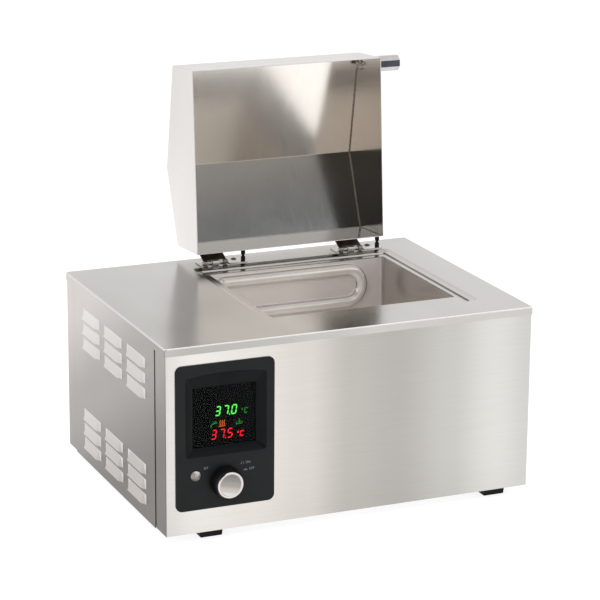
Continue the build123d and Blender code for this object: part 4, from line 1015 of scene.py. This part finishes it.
flatShapes("display_mask", [maskOutline(maskLook)], maskLook, moduleBlack)
for name, (digits, left, bottom, light) in readingPlaces.items():
    flatShapes(name, reading(digits, left, bottom, digitLook), digitLook, light)
for name, (mark, x, z, light) in markPlaces.items():
    flatShapes(name, mark(x, z), digitLook, light)


# Small words and marks printed beside the button and the knob

printLook = {"size": 4.1, "narrow": 0.9, "front": -178.86, "depth": 0.07, "merge": 0.001}
wordPlaces = {
    "word_set": ("SET", -187.6, 89.7), "word_on": ("ON", -136.0, 90.6), "word_off": ("OFF", -131.6, 82.4),
}
switchLook = {
    "bump": (-140.0, 92.5), "radius": 1.35, "from": -40, "to": 220, "line": 0.45, "level": 91.0,
    "feet": [(-142.1, -141.0), (-139.0, -137.9)],
    "bar": [(-137.9, 82.9), (-134.3, 82.9)], "stub": [(-135.6, 83.2), (-135.6, 84.0)], "thick": 1.0,
}


def printedWord(name, word, left, bottom, look):
    curve = bpy.data.curves.new(name, "FONT")
    curve.body, curve.size = word, look["size"] * mm
    mesh = frozen(addObject(name + "_text", curve), name)
    work = bmesh.new()
    work.from_mesh(mesh)
    bmesh.ops.remove_doubles(work, verts=work.verts, dist=look["merge"] * mm)
    pushFaces(work, work.faces[:], (0, 0, -look["depth"] * mm))
    writeSolid(work, mesh)
    mesh.transform(Matrix(((look["narrow"], 0, 0, left * mm), (0, 0, -1, look["front"] * mm),
                           (0, 1, 0, bottom * mm), (0, 0, 0, 1))))
    mesh.materials.clear()
    piece = place(name, mesh, printGrey, "control_bezel")


def switchMarks(look):
    marks = ribbon(arc(*look["bump"], look["radius"], look["from"], look["to"]), look["line"])
    for start, end in look["feet"]:
        marks += ribbon([(start, look["level"]), (end, look["level"])], look["line"])
    return marks + ribbon(look["bar"], look["thick"]) + ribbon(look["stub"], look["thick"])


for name, (word, left, bottom) in wordPlaces.items():
    printedWord(name, word, left, bottom, printLook)
flatShapes("marks_switch", switchMarks(switchLook), printLook, printGrey)
print("display and print drawn")


# Camera: the photograph's angle, a long lens

cameraLook = {
    "azimuth": -0.40744, "elevation": 0.279132, "roll": 0.00766696, "distance": 3.0503,
    "target": (0.0077447, 0.0, 0.223038), "lens": 149.95, "sensor": 36.0, "near": 0.05, "far": 50.0,
}


def addCamera(look):
    az, el, roll = look["azimuth"], look["elevation"], look["roll"]
    back = Vector((math.sin(az) * math.cos(el), -math.cos(az) * math.cos(el), math.sin(el)))
    right = Vector((0, 0, 1)).cross(back).normalized()
    up = back.cross(right)
    c, s = math.cos(roll), math.sin(roll)
    right, up = c * right + s * up, c * up - s * right
    data = bpy.data.cameras.new("camera")
    data.lens, data.sensor_width = look["lens"], look["sensor"]
    data.clip_start, data.clip_end = look["near"], look["far"]
    camera = addObject("camera", data)
    turn = Matrix((right, up, back)).transposed().to_4x4()
    camera.matrix_world = Matrix.Translation(Vector(look["target"]) + back * look["distance"]) @ turn
    bpy.context.scene.camera = camera


# Studio: white all round, three soft lamps and a pale floor that keeps the shadow

studioLook = {"fill": 0.62, "floorSize": 14.0, "floorShadow": 0.35, "floorWhite": 1.28, "floorTone": 0.92}
lampAim = Vector((0, 0, 0.2))
lampLooks = [
    {"name": "key", "place": (-1.6, -2.2, 2.6), "size": 1.8, "power": 42.0},
    {"name": "side", "place": (2.4, -1.2, 1.6), "size": 1.4, "power": 14.0},
    {"name": "above", "place": (0.3, 1.1, 2.6), "size": 1.0, "power": 22.0},
]
# Screens that only shiny metal shows: dark left front, banded right front, bright above, pale behind
screenLooks = [
    {"name": "screenDark", "foot": (-0.98, -1.80, 0.0), "head": (-0.98, -1.80, 2.5), "facing": -24.6,
     "width": 1.7, "tones": [(0.0, (0.010, 0.009, 0.008)), (1.0, (0.013, 0.012, 0.011))]},
    {"name": "screenBlue", "foot": (0.86, -1.85, 0.0), "head": (0.86, -1.85, 2.0), "facing": 24.6,
     "width": 1.7,
     "tones": [(0.0, (0.50, 0.50, 0.50)), (0.08, (1.05, 1.06, 1.07)), (0.575, (1.05, 1.06, 1.07)),
               (0.625, (0.01, 0.022, 0.032)), (0.685, (0.035, 0.045, 0.05)), (0.75, (0.27, 0.26, 0.25)),
               (1.0, (0.40, 0.39, 0.38))]},
    {"name": "screenSoft", "foot": (0.55, -1.95, 2.0), "head": (0.40, -1.05, 2.57), "facing": 0.0,
     "width": 2.2, "tones": [(0.0, (1.15, 1.13, 1.11)), (1.0, (1.3, 1.28, 1.26))]},
    {"name": "screenBehind", "foot": (-0.95, 2.00, 0.50), "head": (-0.95, 2.00, 1.8), "facing": 25.0,
     "width": 1.5, "tones": [(0.0, (0.62, 0.62, 0.63)), (1.0, (0.60, 0.60, 0.61))]},
]


def seenDirectly(graph):
    path = graph.node("ShaderNodeLightPath").socket.node
    seen = Wire(graph, path.outputs["Is Camera Ray"])
    for name in ("Is Glossy Ray", "Is Transmission Ray"):
        seen = graph.maths("MAXIMUM", seen, Wire(graph, path.outputs[name]))
    return seen


def addStudio(look):
    world = bpy.data.worlds.new("studio")
    bpy.context.scene.world = world
    world.use_nodes = True
    world.node_tree.nodes.clear()
    graph = Graph(world.node_tree)
    strength = seenDirectly(graph) * (1 - look["fill"]) + look["fill"]
    background = graph.node("ShaderNodeBackground", {"Color": (1, 1, 1, 1), "Strength": strength})
    graph.node("ShaderNodeOutputWorld", {"Surface": background})


def addFloor(look):
    half = look["floorSize"] / 2
    mesh = bpy.data.meshes.new("floor")
    corners = [(-half, -half, 0), (half, -half, 0), (half, half, 0), (-half, half, 0)]
    mesh.from_pydata(corners, [], [(0, 1, 2, 3)])
    floor = addObject("floor", mesh)
    material, graph = newFinish("floorPale")
    pale = graph.node("ShaderNodeBsdfDiffuse", {"Color": (*(look["floorTone"],) * 3, 1)})
    lit = graph.node("ShaderNodeEmission", {"Color": (1, 1, 1, 1), "Strength": look["floorWhite"]})
    share = seenDirectly(graph) * (1 - look["floorShadow"])
    mixed = graph.node("ShaderNodeMixShader", {0: share, 1: pale, 2: lit})
    graph.node("ShaderNodeOutputMaterial", {"Surface": mixed})
    mesh.materials.append(material)


def addLamp(look):
    data = bpy.data.lights.new(look["name"], "AREA")
    data.shape, data.size, data.energy = "SQUARE", look["size"], look["power"]
    lamp = addObject(look["name"], data)
    lamp.location = look["place"]
    lamp.rotation_mode = "QUATERNION"
    lamp.rotation_quaternion = (lampAim - lamp.location).to_track_quat("-Z", "Y")
    lamp.visible_glossy = False


def addScreen(look):
    foot, head = Vector(look["foot"]), Vector(look["head"])
    turn = math.radians(look["facing"])
    half = Vector((math.cos(turn), math.sin(turn), 0)) * look["width"] / 2
    mesh = bpy.data.meshes.new(look["name"])
    mesh.from_pydata([foot - half, foot + half, head + half, head - half], [], [(0, 1, 2, 3)])
    screen = addObject(look["name"], mesh)
    material, graph = newFinish(look["name"])
    height = (graph.part(objectPlace(graph), 2) - foot.z) / (head.z - foot.z)
    light = graph.node("ShaderNodeEmission", {"Color": graph.ramp(height, look["tones"], "EASE")})
    graph.node("ShaderNodeOutputMaterial", {"Surface": light})
    mesh.materials.append(material)
    screen.visible_camera = screen.visible_diffuse = screen.visible_shadow = False
    screen.visible_transmission = screen.visible_volume_scatter = False


addCamera(cameraLook)
addStudio(studioLook)
addFloor(studioLook)
for look in lampLooks:
    addLamp(look)
for look in screenLooks:
    addScreen(look)
bpy.context.scene.view_settings.view_transform = "Standard"
print("camera and studio set")
